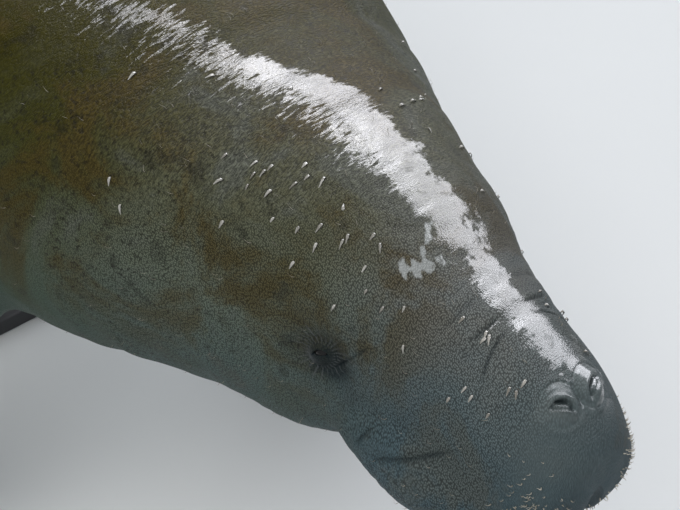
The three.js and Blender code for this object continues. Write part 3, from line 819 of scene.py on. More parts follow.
def write_masks(mesh, head, form):
    """Where each point lies on the straight body, and the head's masks from its grid's nearest points."""
    placed = positions(mesh)
    straight = unbend(placed)
    store(mesh, "body_place", straight * MM)
    store(mesh, "flat_place", flat_place(straight))
    tree = KDTree(len(head))
    for i, point in enumerate(head):
        tree.insert(point, i)
    tree.balance()
    on_head = np.flatnonzero(straight[:, 0] < HEAD_ENDS)
    nearest = np.array([tree.find(placed[i])[1] for i in on_head])
    for name, mask in head_masks(form).items():
        values = np.zeros(len(straight))
        values[on_head] = mask[nearest]
        store(mesh, name, values)


def make_skin():
    skin, head, form = body_skin()
    join(skin, [make_flipper(f"flipper_{name}_part", side) for name, side in SIDES.items()])
    far = seam_distance(positions(skin.data))
    soften(skin.data, smooth((FILLET["reach"] - far) / FILLET["reach"]))
    write_masks(skin.data, head, form)
    skin.data.polygons.foreach_set("use_smooth", np.full(len(skin.data.polygons), True))
    return skin


# Materials
class Nodes:
    """A few short ways to build a node material."""

    def __init__(self, name):
        self.material = bpy.data.materials.new(name)
        self.material.use_nodes = True
        self.tree = self.material.node_tree
        self.tree.nodes.clear()
        self.shader = self.node("BsdfPrincipled")
        self.tree.links.new(self.shader.outputs[0], self.node("OutputMaterial").inputs[0])

    def put(self, value, socket):
        if isinstance(value, bpy.types.NodeSocket):
            self.tree.links.new(value, socket)
        else:
            socket.default_value = value

    def set(self, **values):
        for name, value in values.items():
            self.put(value, self.shader.inputs[name.replace("_", " ")])

    def node(self, kind, entries=(), **settings):
        """A node with settings, and with values or links at its numbered or named entries."""
        made = self.tree.nodes.new("ShaderNode" + kind)
        for name, value in settings.items():
            setattr(made, name, value)
        for entry, value in entries:
            self.put(value, made.inputs[entry])
        return made

    def attribute(self, name, output="Fac"):
        return self.node("Attribute", attribute_name=name).outputs[output]

    def own_place(self):
        return self.node("TexCoord").outputs["Object"]

    def split(self, vector):
        return (self.node("SeparateXYZ", [(0, vector)]).outputs[axis] for axis in "XYZ")

    def math(self, operation, a, b=0.0):
        return self.node("Math", [(0, a), (1, b)], operation=operation).outputs[0]

    def plus(self, a, b):
        return self.math("ADD", a, b)

    def minus(self, a, b):
        return self.math("SUBTRACT", a, b)

    def times(self, first, *others):
        for other in others:
            first = self.math("MULTIPLY", first, other)
        return first

    def larger(self, a, b):
        return self.math("MAXIMUM", a, b)

    def swing(self, pattern, size):
        """A pattern from 0 to 1 as a swing about 0."""
        return self.times(self.minus(pattern, 0.5), size)

    def scaled(self, vector, scale):
        return self.node("VectorMath", [(0, vector), (1, scale)], operation="MULTIPLY").outputs[0]

    def noise(self, vector, scale, detail=3.0, rough=0.5, warp=0.0):
        sockets = ("Vector", "Scale", "Detail", "Roughness", "Distortion")
        entries = zip(sockets, (vector, scale, detail, rough, warp))
        return self.node("TexNoise", entries).outputs["Fac"]

    def cells(self, vector, scale, dimensions):
        entries = zip(("Vector", "Scale", "Randomness"), (vector, scale, CELL_RANDOMNESS))
        return self.node("TexVoronoi", entries, voronoi_dimensions=dimensions).outputs["Distance"]

    def grey(self, value):
        return self.node("CombineColor", [(i, value) for i in range(3)]).outputs[0]

    def span(self, value, low, high, to_low=0.0, to_high=1.0):
        """A smooth step of a value, to one end's value and the other's."""
        sockets = ("Value", "From Min", "From Max", "To Min", "To Max")
        entries = zip(sockets, (value, low, high, to_low, to_high))
        return self.node("MapRange", entries, interpolation_type="SMOOTHSTEP").outputs["Result"]

    def share(self, share, a, b):
        """A value between two others."""
        return self.node("Mix", [(0, share), (2, a), (3, b)], data_type="FLOAT").outputs[0]

    def mix(self, share, a, b, blend="MIX"):
        a, b = (v if isinstance(v, bpy.types.NodeSocket) else (*v, 1.0) for v in (a, b))
        return self.node("Mix", [(0, share), (6, a), (7, b)], data_type="RGBA", blend_type=blend).outputs[2]

    def ramp(self, value, stops):
        """Colours joined by straight lines at places from 0 to 1."""
        made = self.node("ValToRGB", [(0, value)])
        elements = made.color_ramp.elements
        while len(elements) < len(stops):
            elements.new(1.0)
        for element, (position, colour) in zip(elements, stops):
            element.position = position
            element.color = (*colour, 1.0)
        return made.outputs[0]

    def curve(self, value, points, low, high):
        """A value joined by straight lines through (place, value) points, the values between low and high."""
        grey = self.ramp(value, [(at, ((v - low) / (high - low),) * 3) for at, v in points])
        return self.plus(self.times(grey, high - low), low)

    def bump(self, height, strength, distance, below=None):
        made = self.node("Bump", [("Height", height), ("Strength", strength), ("Distance", distance)])
        if below is not None:
            self.put(below, made.inputs["Normal"])
        return made.outputs["Normal"]


# Hide colours, each from the underside up to the back, by height above the body's axis in metres
HEIGHTS = (-0.13, -0.05, 0.03, 0.10, 0.16)
HIDE = {
    "muzzle": (
        (0.050, 0.080, 0.094), (0.058, 0.088, 0.100), (0.086, 0.110, 0.114), (0.130, 0.136, 0.126),
        (0.130, 0.136, 0.126),
    ),
    "neck": (
        (0.066, 0.098, 0.092), (0.074, 0.104, 0.094), (0.094, 0.112, 0.086), (0.076, 0.080, 0.050),
        (0.062, 0.058, 0.032),
    ),
    "back": (
        (0.064, 0.092, 0.076), (0.060, 0.086, 0.062), (0.064, 0.075, 0.043), (0.034, 0.035, 0.007),
        (0.030, 0.027, 0.000),
    ),
}
BROWN = (0.052, 0.037, 0.008)
GREY = (0.082, 0.088, 0.076)
DARK = (0.010, 0.009, 0.006)
# Painted shade, laid in the eyes' hollows, the folds, the mouth's line and the openings
PAINTED_SHADE = (0.008, 0.014, 0.017)
# Pale blue grey of the painted highlight on the eyes' crests and lids
LID_HIGHLIGHT = (0.125, 0.135, 0.140)
# Pale grey of the painted reflection on the water's patches
PAINTED_WATER_SHEEN = (0.33, 0.35, 0.35)
# Noise patterns: scale, detail, roughness, warp, and how much they are drawn out round the body
PATTERNS = {
    "broad": (4.5, 5, 0.6, 0.4, 1.0),
    "patchy": (10, 6, 0.62, 0.6, 1.0),
    "mottle": (46, 5, 0.65, 0.0, 1.0),
    "spots": (110, 4, 0.6, 0.8, 1.0),
    "specks": (190, 3, 0.6, 0.0, 1.0),
    "drift": (6, 3, 0.5, 0.0, 1.0),
    "lines": (760, 2, 0.5, 0.3, 0.33),
    "ripples": (310, 3, 0.6, 0.5, 0.17),
}
PEBBLES = 570.0
FLIPPER_PEBBLES = 500.0
CELL_RANDOMNESS = 0.8
# How far the patchy and mottled patterns shift a height, a place and a patch's edge
SHIFT = {"height": 0.16, "place": 0.16, "blotch": 0.25}
# Shares of a colour where its mask is 1
SHARES = {"specks": 0.6, "film_sheen": 0.9, "eye_shade": 0.85, "eye_crest_highlight": 0.65, "fold_shade": 0.85}
# Wetness where a mask is 1, by the weight of the gloss
WETNESS = {"nostril": 0.5, "film_sheen": 0.6}
# Steps of the patterns: a value's range, and what it turns to at both ends, 0 and 1 where not given
STEPS = {
    "neck": (0.14, 0.28),
    "back": (0.36, 0.52),
    "brown": (0.47, 0.62, 0.0, 0.7),
    "brown_height": (-0.12, 0.06),
    "brown_from": (0.10, 0.20),
    "grey": (0.46, 0.36),
    "grey_until": (0.6, 0.4, 0.0, 0.6),
    "dark": (0.46, 0.32),
    "dark_from": (0.12, 0.3, 0.12, 0.5),
    "specks": (0.56, 0.64),
    "drift": (0.42, 0.56),
    "specks_from": (0.24, 0.42),
    "film_sheen_gaps": (0.35, 0.43, 0.5, 1.0),
    "pebbles": (0.60, 0.08),
    "flipper_pebbles": (0.80, 0.10),
    "lines": (0.34, 0.66),
    "lines_lower": (0.20, 0.40, 0.0, 0.03),
    "lines_height": (0.09, 0.16, 0.12, 0.8),
    "grain_shade_until": (0.36, 0.60, 1.15, 0.5),
    "grain_shade_from": (0.025, 0.065, 0.3, 1.0),
    "grain_shade_in_film_sheen": (0.0, 0.8, 1.0, 0.35),
    "calm": (0.05, 0.38, 1.0, 0.15),
    "roughness": (0.3, 0.7, 0.5, 0.64),
    "on_neck": (0.22, 0.34),
    "dashes": (0.012, -0.012, 1.2, 5.0),
    "dashes_neck": (0.22, 0.34, 0.35, 1.6),
    "dashes_end": (0.40, 0.48, 1.0, 2.0),
    "ragged": (0.22, 0.34, 5.0, 2.4),
    "strip": (-0.30, 0.20),
    "strip_height": (0.0, 0.03),
    "solid": (-0.016, 0.0),
    "solid_until": (0.46, 0.40),
    "head_gaps": (0.36, 0.42, 0.65, 1.0),
    "gap_depth": (0.0, 1.0, 0.4, 0.9),
    "ripples_from": (0.22, 0.34, 0.4, 1.0),
    "still": (0.0, 1.0, 1.0, 0.4),
}
NECK_GAPS = (0.38, 0.53)
# The wet strip along the back: place, its middle to the left of the ridge, and its half width, in metres
STRIP = (
    (0.042, 0.022, 0.013), (0.056, 0.0155, 0.0165), (0.075, 0.010, 0.016), (0.095, 0.005, 0.015),
    (0.134, 0.0025, 0.015), (0.174, 0.0065, 0.0145), (0.202, 0.0055, 0.0165), (0.235, 0.004, 0.020),
    (0.288, 0.0005, 0.025), (0.354, 0.0035, 0.027), (0.393, -0.021, 0.023), (0.434, -0.043, 0.016),
    (0.477, -0.058, 0.009), (0.521, -0.074, 0.006), (0.560, -0.098, 0.004), (0.620, -0.130, -0.020),
)
STRIP_MIDDLES = (-0.15, 0.05)
STRIP_HALVES = (-0.02, 0.04)
STRIP_SHARPNESS = 60.0
# Bumps: strength and height in metres
BUMPS = {"ripples": (0.3, 0.0012), "grain": (0.8, 0.0008), "water": (0.6, 0.0011)}
GRAIN_IN_WATER = 0.4


class Hide(Nodes):
    """The hide's material, and the patterns that its colour, relief and wetness share."""

    def __init__(self):
        super().__init__("hide")
        self.place = self.attribute("body_place", "Vector")
        self.at, self.left, self.height = self.split(self.place)
        self.patchy, self.mottle, self.spots, self.ripples = (
            self.pattern(name) for name in ("patchy", "mottle", "spots", "ripples")
        )
        # The water's patches, glossy and with a painted reflection, broken by gaps
        self.film_sheen = self.times(self.attribute("film_sheen"), self.step(self.spots, "film_sheen_gaps"))
        self.nostril = self.attribute("nostril_wet")
        self.grain = self.fine_grain()
        self.set(Base_Color=self.colour(), Roughness=self.step(self.mottle, "roughness"))
        self.set(Coat_Roughness=0.19, Coat_IOR=1.5, Specular_IOR_Level=0.1)
        self.relief()
        self.wet_strip()

    def pattern(self, name):
        *settings, drawn = PATTERNS[name]
        vector = self.place if drawn == 1 else self.scaled(self.place, (1.0, drawn, drawn))
        return self.noise(vector, *settings)

    def step(self, value, name):
        return self.span(value, *STEPS[name])

    def fine_grain(self):
        """Fine pebbled skin, drawn out by the ridge into broken lines that run round the body."""
        flat = self.attribute("flat_place", "Vector")
        *_, off_body = self.split(flat)
        on_body = self.step(self.cells(flat, PEBBLES, "2D"), "pebbles")
        off = self.step(self.cells(self.place, FLIPPER_PEBBLES, "3D"), "flipper_pebbles")
        pebbles = self.share(off_body, on_body, off)
        high = self.plus(self.height, self.step(self.at, "lines_lower"))
        return self.share(self.step(high, "lines_height"), pebbles, self.step(self.pattern("lines"), "lines"))

    def by_height(self, level, name):
        low, high = HEIGHTS[0], HEIGHTS[-1]
        share = self.math("DIVIDE", self.minus(level, low), high - low)
        stops = [((z - low) / (high - low), colour) for z, colour in zip(HEIGHTS, HIDE[name])]
        return self.ramp(share, stops)

    def colour(self):
        """Slate muzzle, grey neck and olive back, each bluer below, with patches, specks and grain, the grain
        partly painted shade and sparkle; painted reflection on the water's patches, painted shade in folds
        and eye hollows, painted highlight on the eyes' crests and lids.
        """
        at, patchy, mottle = self.at, self.patchy, self.mottle
        level = self.plus(self.height, self.swing(patchy, SHIFT["height"]))
        along = self.plus(at, self.swing(self.pattern("broad"), SHIFT["place"]))
        muzzle, neck, back = (self.by_height(level, name) for name in HIDE)
        colour = self.mix(self.step(along, "neck"), muzzle, neck)
        colour = self.mix(self.step(along, "back"), colour, back)
        blotch = self.step(self.plus(patchy, self.swing(mottle, SHIFT["blotch"])), "brown")
        on_top = self.times(self.step(level, "brown_height"), self.step(at, "brown_from"))
        colour = self.mix(self.times(blotch, on_top), colour, BROWN)
        colour = self.mix(self.times(self.step(patchy, "grey"), self.step(at, "grey_until")), colour, GREY)
        colour = self.mix(self.times(self.step(mottle, "dark"), self.step(at, "dark_from")), colour, DARK)
        drift = self.times(self.step(self.pattern("drift"), "drift"), self.step(at, "specks_from"))
        specks = self.times(self.step(self.pattern("specks"), "specks"), drift, SHARES["specks"])
        colour = self.mix(specks, colour, DARK)
        # Painted reflection: the sheen of the water's patches laid in as a pale grey
        colour = self.mix(self.times(self.film_sheen, SHARES["film_sheen"]), colour, PAINTED_WATER_SHEEN)
        # The pebbles' tops lighter and the gaps between them darker: partly the skin's own tone, partly
        # painted shade and sparkle
        strength = self.times(self.step(at, "grain_shade_until"), self.step(at, "grain_shade_from"))
        strength = self.times(strength, self.step(self.film_sheen, "grain_shade_in_film_sheen"))
        pebble_tone_and_shade = self.plus(1.0, self.swing(self.grain, strength))
        colour = self.mix(1.0, colour, self.grey(pebble_tone_and_shade), "MULTIPLY")
        # Painted shade in the eyes' hollows and the folds, and a painted highlight on the eyes' crests and
        # lids
        for mask, over in (("eye_shade", PAINTED_SHADE), ("eye_crest_highlight", LID_HIGHLIGHT), ("fold_shade", PAINTED_SHADE)):
            colour = self.mix(self.times(self.attribute(mask), SHARES[mask]), colour, over)
        return colour

    def relief(self):
        """Fine relief, calmer by the nostrils."""
        self.calm = self.step(self.nostril, "calm")
        normal = self.bump(self.times(self.ripples, self.calm), *BUMPS["ripples"])
        self.set(Normal=self.bump(self.times(self.grain, self.calm), *BUMPS["grain"], normal))

    def wet_strip(self):
        """Gloss by the nostrils, on the film and on the back's strip, whose right side ends in dashes."""
        at, ripples = self.at, self.ripples
        on_neck = self.step(at, "on_neck")
        middle = self.curve(at, [(t, y) for t, y, _ in STRIP], *STRIP_MIDDLES)
        half = self.curve(at, [(t, h) for t, _, h in STRIP], *STRIP_HALVES)
        aside = self.minus(self.left, middle)
        inside = self.times(self.minus(half, self.math("ABSOLUTE", aside)), STRIP_SHARPNESS)
        dashes = self.times(*(self.step(v, name) for v, name in (
            (aside, "dashes"), (at, "dashes_neck"), (at, "dashes_end"),
        )))
        broken = self.plus(inside, self.swing(ripples, dashes))
        broken = self.plus(broken, self.swing(self.mottle, self.step(at, "ragged")))
        strip = self.times(self.step(broken, "strip"), self.step(self.height, "strip_height"))
        solid = self.times(self.step(aside, "solid"), self.step(at, "solid_until"))
        solid = self.share(on_neck, 1.0, solid)
        neck_gaps = self.span(ripples, *NECK_GAPS, self.step(solid, "gap_depth"), 1.0)
        gaps = self.share(on_neck, self.step(self.spots, "head_gaps"), neck_gaps)
        wet = self.larger(self.times(strip, gaps), self.times(self.nostril, WETNESS["nostril"]))
        self.set(Coat_Weight=self.larger(wet, self.times(self.film_sheen, WETNESS["film_sheen"])))
        moved = self.times(ripples, self.step(at, "ripples_from"))
        uneven = self.plus(self.times(self.grain, GRAIN_IN_WATER), moved)
        uneven = self.times(uneven, self.calm, self.step(solid, "still"))
        self.set(Coat_Normal=self.bump(uneven, *BUMPS["water"]))


def eye_material():
    m = Nodes("eye")
    cloudy = m.span(m.noise(m.own_place(), 900, 3), 0.4, 0.7)
    m.set(Base_Color=m.mix(cloudy, (0.003, 0.003, 0.003), (0.010, 0.008, 0.006)), Roughness=0.12)
    m.set(Specular_IOR_Level=0.4, Coat_Weight=0.3, Coat_Roughness=0.05)
    return m.material


def nail_material():
    m = Nodes("nail")
    streaks = m.noise(m.scaled(m.own_place(), (1.0, 1.0, 0.2)), 900, 3)
    m.set(Base_Color=m.mix(streaks, (0.30, 0.245, 0.17), (0.52, 0.46, 0.36)), Roughness=0.35)
    m.set(Coat_Weight=0.3, Normal=m.bump(streaks, 0.4, 0.0004))
    return m.material


def hair_material(name, dark, pale, roughness):
    m = Nodes(name)
    shade = m.span(m.noise(m.own_place(), 60, 2), 0.35, 0.65)
    m.set(Base_Color=m.mix(shade, dark, pale), Roughness=roughness)
    return m.material


def base_material():
    m = Nodes("stand_base")
    speckle = m.noise(m.own_place(), 700, 3, 0.6)
    smudge = m.noise(m.own_place(), 5, 4, 0.6)
    m.set(Base_Color=m.mix(smudge, (0.018, 0.019, 0.021), (0.030, 0.031, 0.033)))
    m.set(Roughness=m.span(smudge, 0.3, 0.7, 0.38, 0.55), Normal=m.bump(speckle, 0.25, 0.0004))
    return m.material


def rod_material():
    m = Nodes("stand_rod")
    brushed = m.noise(m.scaled(m.own_place(), (1.0, 1.0, 0.03)), 1200, 3, 0.6)
    m.set(Base_Color=m.mix(brushed, (0.42, 0.43, 0.44), (0.62, 0.63, 0.64)), Metallic=1.0)
    m.set(Roughness=m.span(brushed, 0.3, 0.7, 0.22, 0.38), Normal=m.bump(brushed, 0.2, 0.0002))
    return m.material


# Eyes and nails
def ball(name, centre, radius, rings=48):
    phi = np.linspace(0, math.pi, rings + 1)[1:-1]
    theta = np.arange(2 * rings) * math.pi / rings
    p, t = np.meshgrid(phi, theta, indexing="ij")
    shape = np.stack([np.sin(p) * np.cos(t), np.sin(p) * np.sin(t), np.cos(p)], -1) * radius + centre
    return new_object(name, *closed_tube(shape, centre + [[0, 0, radius]], centre - [[0, 0, radius]]))


def finish_piece(piece, material, nodes):
    piece.data.materials.clear()
    piece.data.materials.append(material)
    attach(piece, "root")
    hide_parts(*nodes)


def make_eyes(material):
    for name, side in SIDES.items():
        point, normal, _ = on_skin(EYE["at"], EYE["angle"], side)
        eye = ball(f"eyeball_{name}", point - normal * EYEBALL["sunk"], EYEBALL["radius"])
        finish_piece(eye, material, [f"eye_{name}"])


def make_nails(material):
    """Each nail is a low oval plate with a rounded free edge, its root sunk in the flipper's skin."""
    for name, side in SIDES.items():
        _, ways = flipper_line(side)
        for i, (along, across) in enumerate(NAILS):
            s = np.array([along])
            middle, across_way, out = (v[0] for v in flipper_frame(side, s))
            wide = flipper_half(FLIPPER_BREADTH, s)[0] * across
            rise = flipper_half(FLIPPER_THICKNESS, s)[0] * math.sqrt(1 - across**2)
            towards = ways[int(along * (FLIPPER_STEPS - 1))]
            z = unit(out)
            y = unit(np.cross(z, towards))
            x = np.cross(y, z)
            centre = middle + across_way * wide + out * rise
            nail = ball(f"nail_plate_{name}_{i + 1}", np.zeros(3), 1.0, 24)
            p = positions(nail.data)
            longer = 1 + NAIL["flare"] * p[:, :1]
            shape = p * np.array(NAIL["size"]) * np.concatenate([np.ones_like(longer), longer, longer], 1)
            shape[:, 2] = np.maximum(shape[:, 2], -NAIL["sunk"])
            shape[:, 2] -= NAIL["droop"] * shape[:, 0] ** 2
            move_points(nail.data, centre + shape[:, :1] * x + shape[:, 1:2] * y + shape[:, 2:] * z)
            finish_piece(nail, material, [f"nail_{name}_{i + 1}"])


# Display stand
CORNER_STEPS = 25
EDGE_STEPS = 7
FLANGE_STEPS = 6


def rounded_slab(name, size):
    """The base: a flat plate with round corners and a round edge."""
    length, width, thick, corner, bevel = (size[k] for k in ("length", "width", "thick", "corner", "bevel"))
    outline = []
    for quarter, (sx, sy) in enumerate(((1, 1), (-1, 1), (-1, -1), (1, -1))):
        turn = math.radians(90 * quarter) + np.linspace(0, QUARTER, CORNER_STEPS)
        middle = np.array([sx * (length / 2 - corner), sy * (width / 2 - corner)])
        ring = np.stack([np.cos(turn), np.sin(turn)], 1)
        outline.append(np.concatenate([np.tile(middle, (CORNER_STEPS, 1)), ring], 1))
    outline = np.vstack(outline)
    curve = np.linspace(0, QUARTER, EDGE_STEPS)
    low = [(bevel * (1 - math.sin(t)), bevel * (1 - math.cos(t))) for t in curve]
    high = [(inset, thick - z) for inset, z in reversed(low)]
    rings = []
    for inset, z in low + high:
        xy = outline[:, :2] + outline[:, 2:] * (corner - inset)
        rings.append(np.concatenate([xy, np.full((len(xy), 1), z)], 1))
    return new_object(name, *closed_tube(np.array(rings), [[0, 0, 0]], [[0, 0, thick]]))


def lathe(name, x, profile, around=96):
    """A turned piece about the upright line at x, from (radius, height) pairs, closed on the axis."""
    turn = np.arange(around) * 2 * math.pi / around
    rings = np.array([
        np.stack([x + radius * np.cos(turn), radius * np.sin(turn), np.full(around, z)], 1)
        for radius, z in profile
    ])
    return new_object(name, *closed_tube(rings, [[x, 0, profile[0][1]]], [[x, 0, profile[-1][1]]]))


def finish_stand(piece, material, node):
    piece.data.set_sharp_from_angle(angle=SHARP)
    finish_piece(piece, material, [node])


def make_stand():
    finish_stand(rounded_slab("display_base", BASE), base_material(), "stand_base")
    steel = rod_material()
    bottom = BASE["thick"] + GAP
    r, t, b = FLANGE["radius"], FLANGE["thick"], FLANGE["bevel"]
    foot, radius, edge = bottom + t + GAP, ROD["radius"], ROD["bevel"]
    turns = np.linspace(QUARTER, 0, FLANGE_STEPS)
    corner = [(r - b + b * math.sin(a), bottom + t - b + b * math.cos(a)) for a in turns]
    for name, at in RODS.items():
        x = float(bend(np.array([at, 0.0, 0.0]))[0])
        flange = lathe(f"flange_{name}", x, [(r - edge, bottom), (r, bottom + edge), *corner])
        finish_stand(flange, steel, f"stand_flange_{name}")
        top = float(on_skin(at, -90, 1)[0][2]) + ROD["into"]
        rod = lathe(f"rod_{name}", x, [(radius - edge, foot), (radius, foot + edge), (radius, top)])
        finish_stand(rod, steel, f"stand_rod_{name}")


# Hairs
HAIR_SIDES = 6
HAIR_RINGS = 5
UV_PATCH = 0.003
UV_SPAN = (0.02, 0.955)
# Each piece's length and radius as ranges, how far its hairs curl and lean down, and its material
HAIRS = {
    "body_hairs": {
        "length": (5, 10), "radius": (0.18, 0.3), "curl": 0.85, "down": 0.0, "belly": False,
        "material": ("hair", (0.14, 0.125, 0.095), (0.34, 0.31, 0.25), 0.5),
    },
    # Hairs whose pale colour is a painted glint of the water on them
    "wet_hairs_glint": {
        "length": (6, 10.5), "radius": (0.95, 1.5), "curl": 0.98, "down": 0.8, "belly": True,
        "material": ("wet_hair_glint", (0.20, 0.19, 0.165), (0.42, 0.41, 0.38), 0.2),
    },
    "muzzle_bristles": {
        "length": (4, 9), "radius": (0.4, 0.7), "curl": 0.5, "down": 0.0, "belly": False,
        "material": ("bristle", (0.26, 0.24, 0.19), (0.52, 0.49, 0.42), 0.4),
    },
}
# Body hairs: from, to and number
BODY_HAIRS = ((60, 420, 300), (420, 1250, 420), (1250, 2820, 520))
# Longer hairs coloured pale as a painted glint of the water on them: place and spread, angle and spread in
# degrees, number
WET_HAIR_GLINTS = (
    (305, 30, 62, 7, 11), (262, 20, 46, 6, 5), (335, 26, 50, 7, 5), (215, 18, 42, 8, 5), (175, 14, 40, 9, 3),
    (112, 10, 52, 8, 4), (92, 10, 40, 8, 4), (72, 8, 56, 8, 3), (420, 50, 50, 18, 5),
)
BRISTLES = 4200
CLEAR = {"opening": 15, "mouth": 6}


def hairs(name, roots, normals, ways, lengths, radii, uvs, curl, belly):
    """Bent hairs in one mesh, thinner to the tip, or thickest in the middle where water lies on them.
    Each one's corners lie in a small patch at its root's place on the unwrap."""
    count, sides, rings = len(roots), HAIR_SIDES, HAIR_RINGS
    f = np.linspace(0, 1, rings + 1)
    lean = (f**1.6 * curl)[None, :, None]
    step = f[None, :, None] * lengths[:, None, None]
    axis = roots[:, None] + step * ((1 - lean) * normals[:, None] + lean * ways[:, None])
    profile = 0.25 + 0.75 * np.sin(np.pi * f) ** 0.8 if belly else 1 - 0.82 * f
    across = unit(np.cross(normals, ways))
    other = unit(np.cross(across, normals))
    turn = (np.arange(sides) * 2 * math.pi / sides)[None, None, :, None]
    flat = 0.5 if belly else 1.0
    ring = np.cos(turn) * across[:, None, None] + np.sin(turn) * flat * other[:, None, None]
    points = axis[:, :, None] + (profile[None, :, None, None] * radii[:, None, None, None]) * ring
    tips = axis[:, -1:] + 0.4 * radii[:, None, None] * ways[:, None]
    points = np.concatenate([points.reshape(count, -1, 3), axis[:, :1], tips], 1)
    per = points.shape[1]
    i, j = np.meshgrid(np.arange(rings), np.arange(sides), indexing="ij")
    a, b = (i * sides + j).ravel(), (i * sides + (j + 1) % sides).ravel()
    quads = np.stack([a, a + sides, b + sides, b], 1)
    k = np.arange(sides)
    after = (k + 1) % sides
    last = rings * sides
    tris = np.vstack([
        np.stack([np.full(sides, per - 2), k, after], 1),
        np.stack([np.full(sides, per - 1), last + after, last + k], 1),
    ])
    shift = (np.arange(count) * per)[:, None, None]
    faces = [(quads[None] + shift).reshape(-1, 4), (tris[None] + shift).reshape(-1, 3)]
    piece = new_object(name, points.reshape(-1, 3), faces)
    corners = np.concatenate([f.ravel() for f in faces])
    inside = corners % per
    offset = np.stack([(inside % sides) / sides, (inside // sides) / (rings + 1)], 1) * UV_PATCH
    uv = piece.data.uv_layers.new(name="OFBake")
    uv.data.foreach_set("uv", (uvs[corners // per] + offset).astype(np.float32).ravel())
    return piece


def skin_uv(place, angle):
    low, span = UV_SPAN
    return np.stack([low + span * ((angle / (2 * math.pi)) % 1), low + span * place / LENGTH], -1)


def hair_roots(place, angle, draw, down):
    """Roots a little under the skin, with the outward direction and the way that the hairs lie there."""
    skin, form, n = skin_points(section_at(place), angle)
    root = bend(skin - 0.5 * n)
    normal = unit(bend(form + n) - bend(form))
    count = len(form)
    lie = [down - np.ones(count), draw.normal(0, 0.35, count), draw.normal(-down, 0.25, count)]
    lie = np.stack(lie, 1)
    lie = unit(lie - normal * np.einsum("ij,ij->i", lie, normal)[:, None])
    return root, normal, lie


def clear_of_openings(place, angle):
    p = skin_points(section_at(place), angle)[1]
    keep = np.ones(len(p), bool)
    for side in SIDES.values():
        forward, up = beside_eye(p, side)
        keep &= np.hypot(forward, up) > CLEAR["opening"]
        keep &= beside_nostril(p, side)[2] > CLEAR["opening"]
    far, _ = line_distance(mirrored(p), MOUTH_POINTS)
    return keep & (far > CLEAR["mouth"])


def scattered(draw, groups):
    place = np.concatenate([draw.normal(at, spread, count) for at, spread, _, _, count in groups])
    degrees = np.concatenate([draw.normal(middle, spread, count) for _, _, middle, spread, count in groups])
    return place, degrees


def grow(name, draw, place, angle):
    """A piece of hairs at places and angles of the body."""
    kind = HAIRS[name]
    count = len(place)
    root, normal, lie = hair_roots(place, angle, draw, kind["down"])
    length, radius = draw.uniform(*kind["length"], count), draw.uniform(*kind["radius"], count)
    uvs = skin_uv(place, angle)
    piece = hairs(name, root, normal, lie, length, radius, uvs, kind["curl"], kind["belly"])
    piece.data.materials.append(hair_material(*kind["material"]))
    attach(piece, "root")


def make_hairs():
    draw = np.random.default_rng(SEED + 20)
    place = np.concatenate([draw.uniform(low, high, count) for low, high, count in BODY_HAIRS])
    angle = draw.uniform(0, 2 * math.pi, len(place))
    keep = clear_of_openings(place, angle)
    grow("body_hairs", draw, place[keep], angle[keep])

    # the same groups on both sides, each with its own scatter, and fewer on the left
    sets = {1: [(*group[:4], group[4] // 2) for group in WET_HAIR_GLINTS], -1: WET_HAIR_GLINTS}
    groups = {side: scattered(draw, chosen) for side, chosen in sets.items()}
    place = np.concatenate([group[0] for group in groups.values()])
    angle = np.concatenate([side_angle(group[1], side) for side, group in groups.items()])
    # Pale hairs, their colour a painted glint of the water on them
    grow("wet_hairs_glint", draw, place, angle)

    # stout bristles on the front of the muzzle, the lips and the chin
    place = draw.uniform(3, 150, BRISTLES)
    degrees = draw.uniform(-90, 45, BRISTLES)
    side = np.where(draw.random(BRISTLES) < 0.5, 1, -1)
    angle = side_angle(degrees, side)
    front = smooth((52 - place) / 30) * smooth((40 - degrees) / 50)
    lips = smooth((-42 - degrees) / 12) * smooth((150 - place) / 40)
    keep = (draw.random(BRISTLES) < 0.4 * np.maximum(front, 0.6 * lips)) & clear_of_openings(place, angle)
    grow("muzzle_bristles", draw, place[keep], angle[keep])


# Stage
FLOOR_SIZE = 14000.0
WORLD = {"colour": (0.86, 0.9, 0.95, 1), "strength": 0.38}
# Lights for form, and panels that only the gloss shows: place, target, size, power, colour, what misses them
LIGHTS = {
    "key": ((1.6, -1.9, 3.6), (0.4, 0, 0.6), (2.6, 2.6), 95, (1.0, 0.98, 0.95), "glossy"),
    "fill": ((-1.5, 3.0, 3.0), (0.2, 0, 0.6), (3.0, 2.4), 60, (0.95, 0.98, 1.0), "glossy"),
    "panel": ((0.92, 2.04, 2.84), (1.1, 0, 0.75), (4.6, 2.7), 365, (0.94, 0.94, 1.0), "diffuse"),
    "shoulder_panel": (
        (-0.25, 0.60, 3.6), (0.95, -0.05, 0.8), (2.6, 2.2), 175, (0.94, 0.94, 1.0), "diffuse",
    ),
}


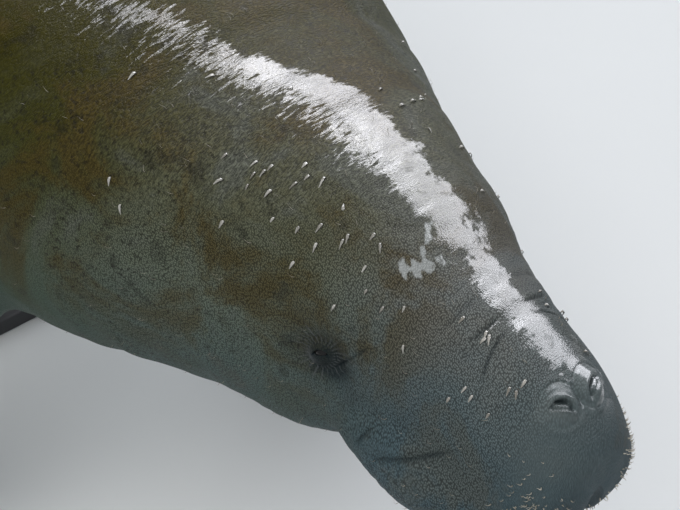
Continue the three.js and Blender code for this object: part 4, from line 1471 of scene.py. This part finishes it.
def make_stage():
    m = Nodes("floor")
    colour = m.mix(m.noise(m.own_place(), 3, 3), (0.78, 0.80, 0.81), (0.82, 0.84, 0.85))
    m.set(Base_Color=colour, Roughness=0.7)
    signs = ((-1, -1, 0), (1, -1, 0), (1, 1, 0), (-1, 1, 0))
    floor = new_object("floor", np.array(signs) * FLOOR_SIZE, [[[0, 1, 2, 3]]], flat=True)
    floor.data.materials.append(m.material)
    world = bpy.data.worlds.new("studio")
    world.use_nodes = True
    background = world.node_tree.nodes["Background"]
    background.inputs[0].default_value = WORLD["colour"]
    background.inputs[1].default_value = WORLD["strength"]
    bpy.context.scene.world = world


def make_lights():
    for name, (place, target, size, power, colour, misses) in LIGHTS.items():
        light = bpy.data.lights.new(name, "AREA")
        light.shape = "RECTANGLE"
        light.size, light.size_y = size
        light.energy = power
        light.color = colour
        thing = bpy.data.objects.new(name, light)
        bpy.context.scene.collection.objects.link(thing)
        thing.location = place
        thing.rotation_euler = (Vector(target) - Vector(place)).to_track_quat("-Z", "Y").to_euler()
        setattr(thing, f"visible_{misses}", False)


def make_camera():
    azimuth, elevation, roll = (math.radians(CAMERA[k]) for k in ("azimuth", "elevation", "roll"))
    flat = math.cos(elevation)
    back = Vector((math.sin(azimuth) * flat, -math.cos(azimuth) * flat, math.sin(elevation)))
    right = Vector((math.cos(azimuth), math.sin(azimuth), 0))
    up = back.cross(right)
    right, up = right * math.cos(roll) + up * math.sin(roll), up * math.cos(roll) - right * math.sin(roll)
    data = bpy.data.cameras.new("camera")
    data.sensor_width = SENSOR
    data.lens = FOCAL_PIXELS / PHOTO_WIDTH * SENSOR
    data.clip_start, data.clip_end = 0.05, 60
    camera = bpy.data.objects.new("camera", data)
    bpy.context.scene.collection.objects.link(camera)
    rows = [(right[i], up[i], back[i], CAMERA["place"][i] * MM) for i in range(3)]
    camera.matrix_world = Matrix((*rows, (0, 0, 0, 1)))
    bpy.context.scene.camera = camera


FLESH = (
    "head", "lower_jaw", "neck", "torso_front", "torso_rear", "tail_stock", "tail_paddle",
    "flipper_left", "flipper_right",
)

make_camera()
make_stage()
make_lights()
bpy.context.scene.view_settings.view_transform = "Standard"
finish_piece(make_skin(), Hide().material, FLESH)
make_eyes(eye_material())
make_nails(nail_material())
make_stand()
make_hairs()
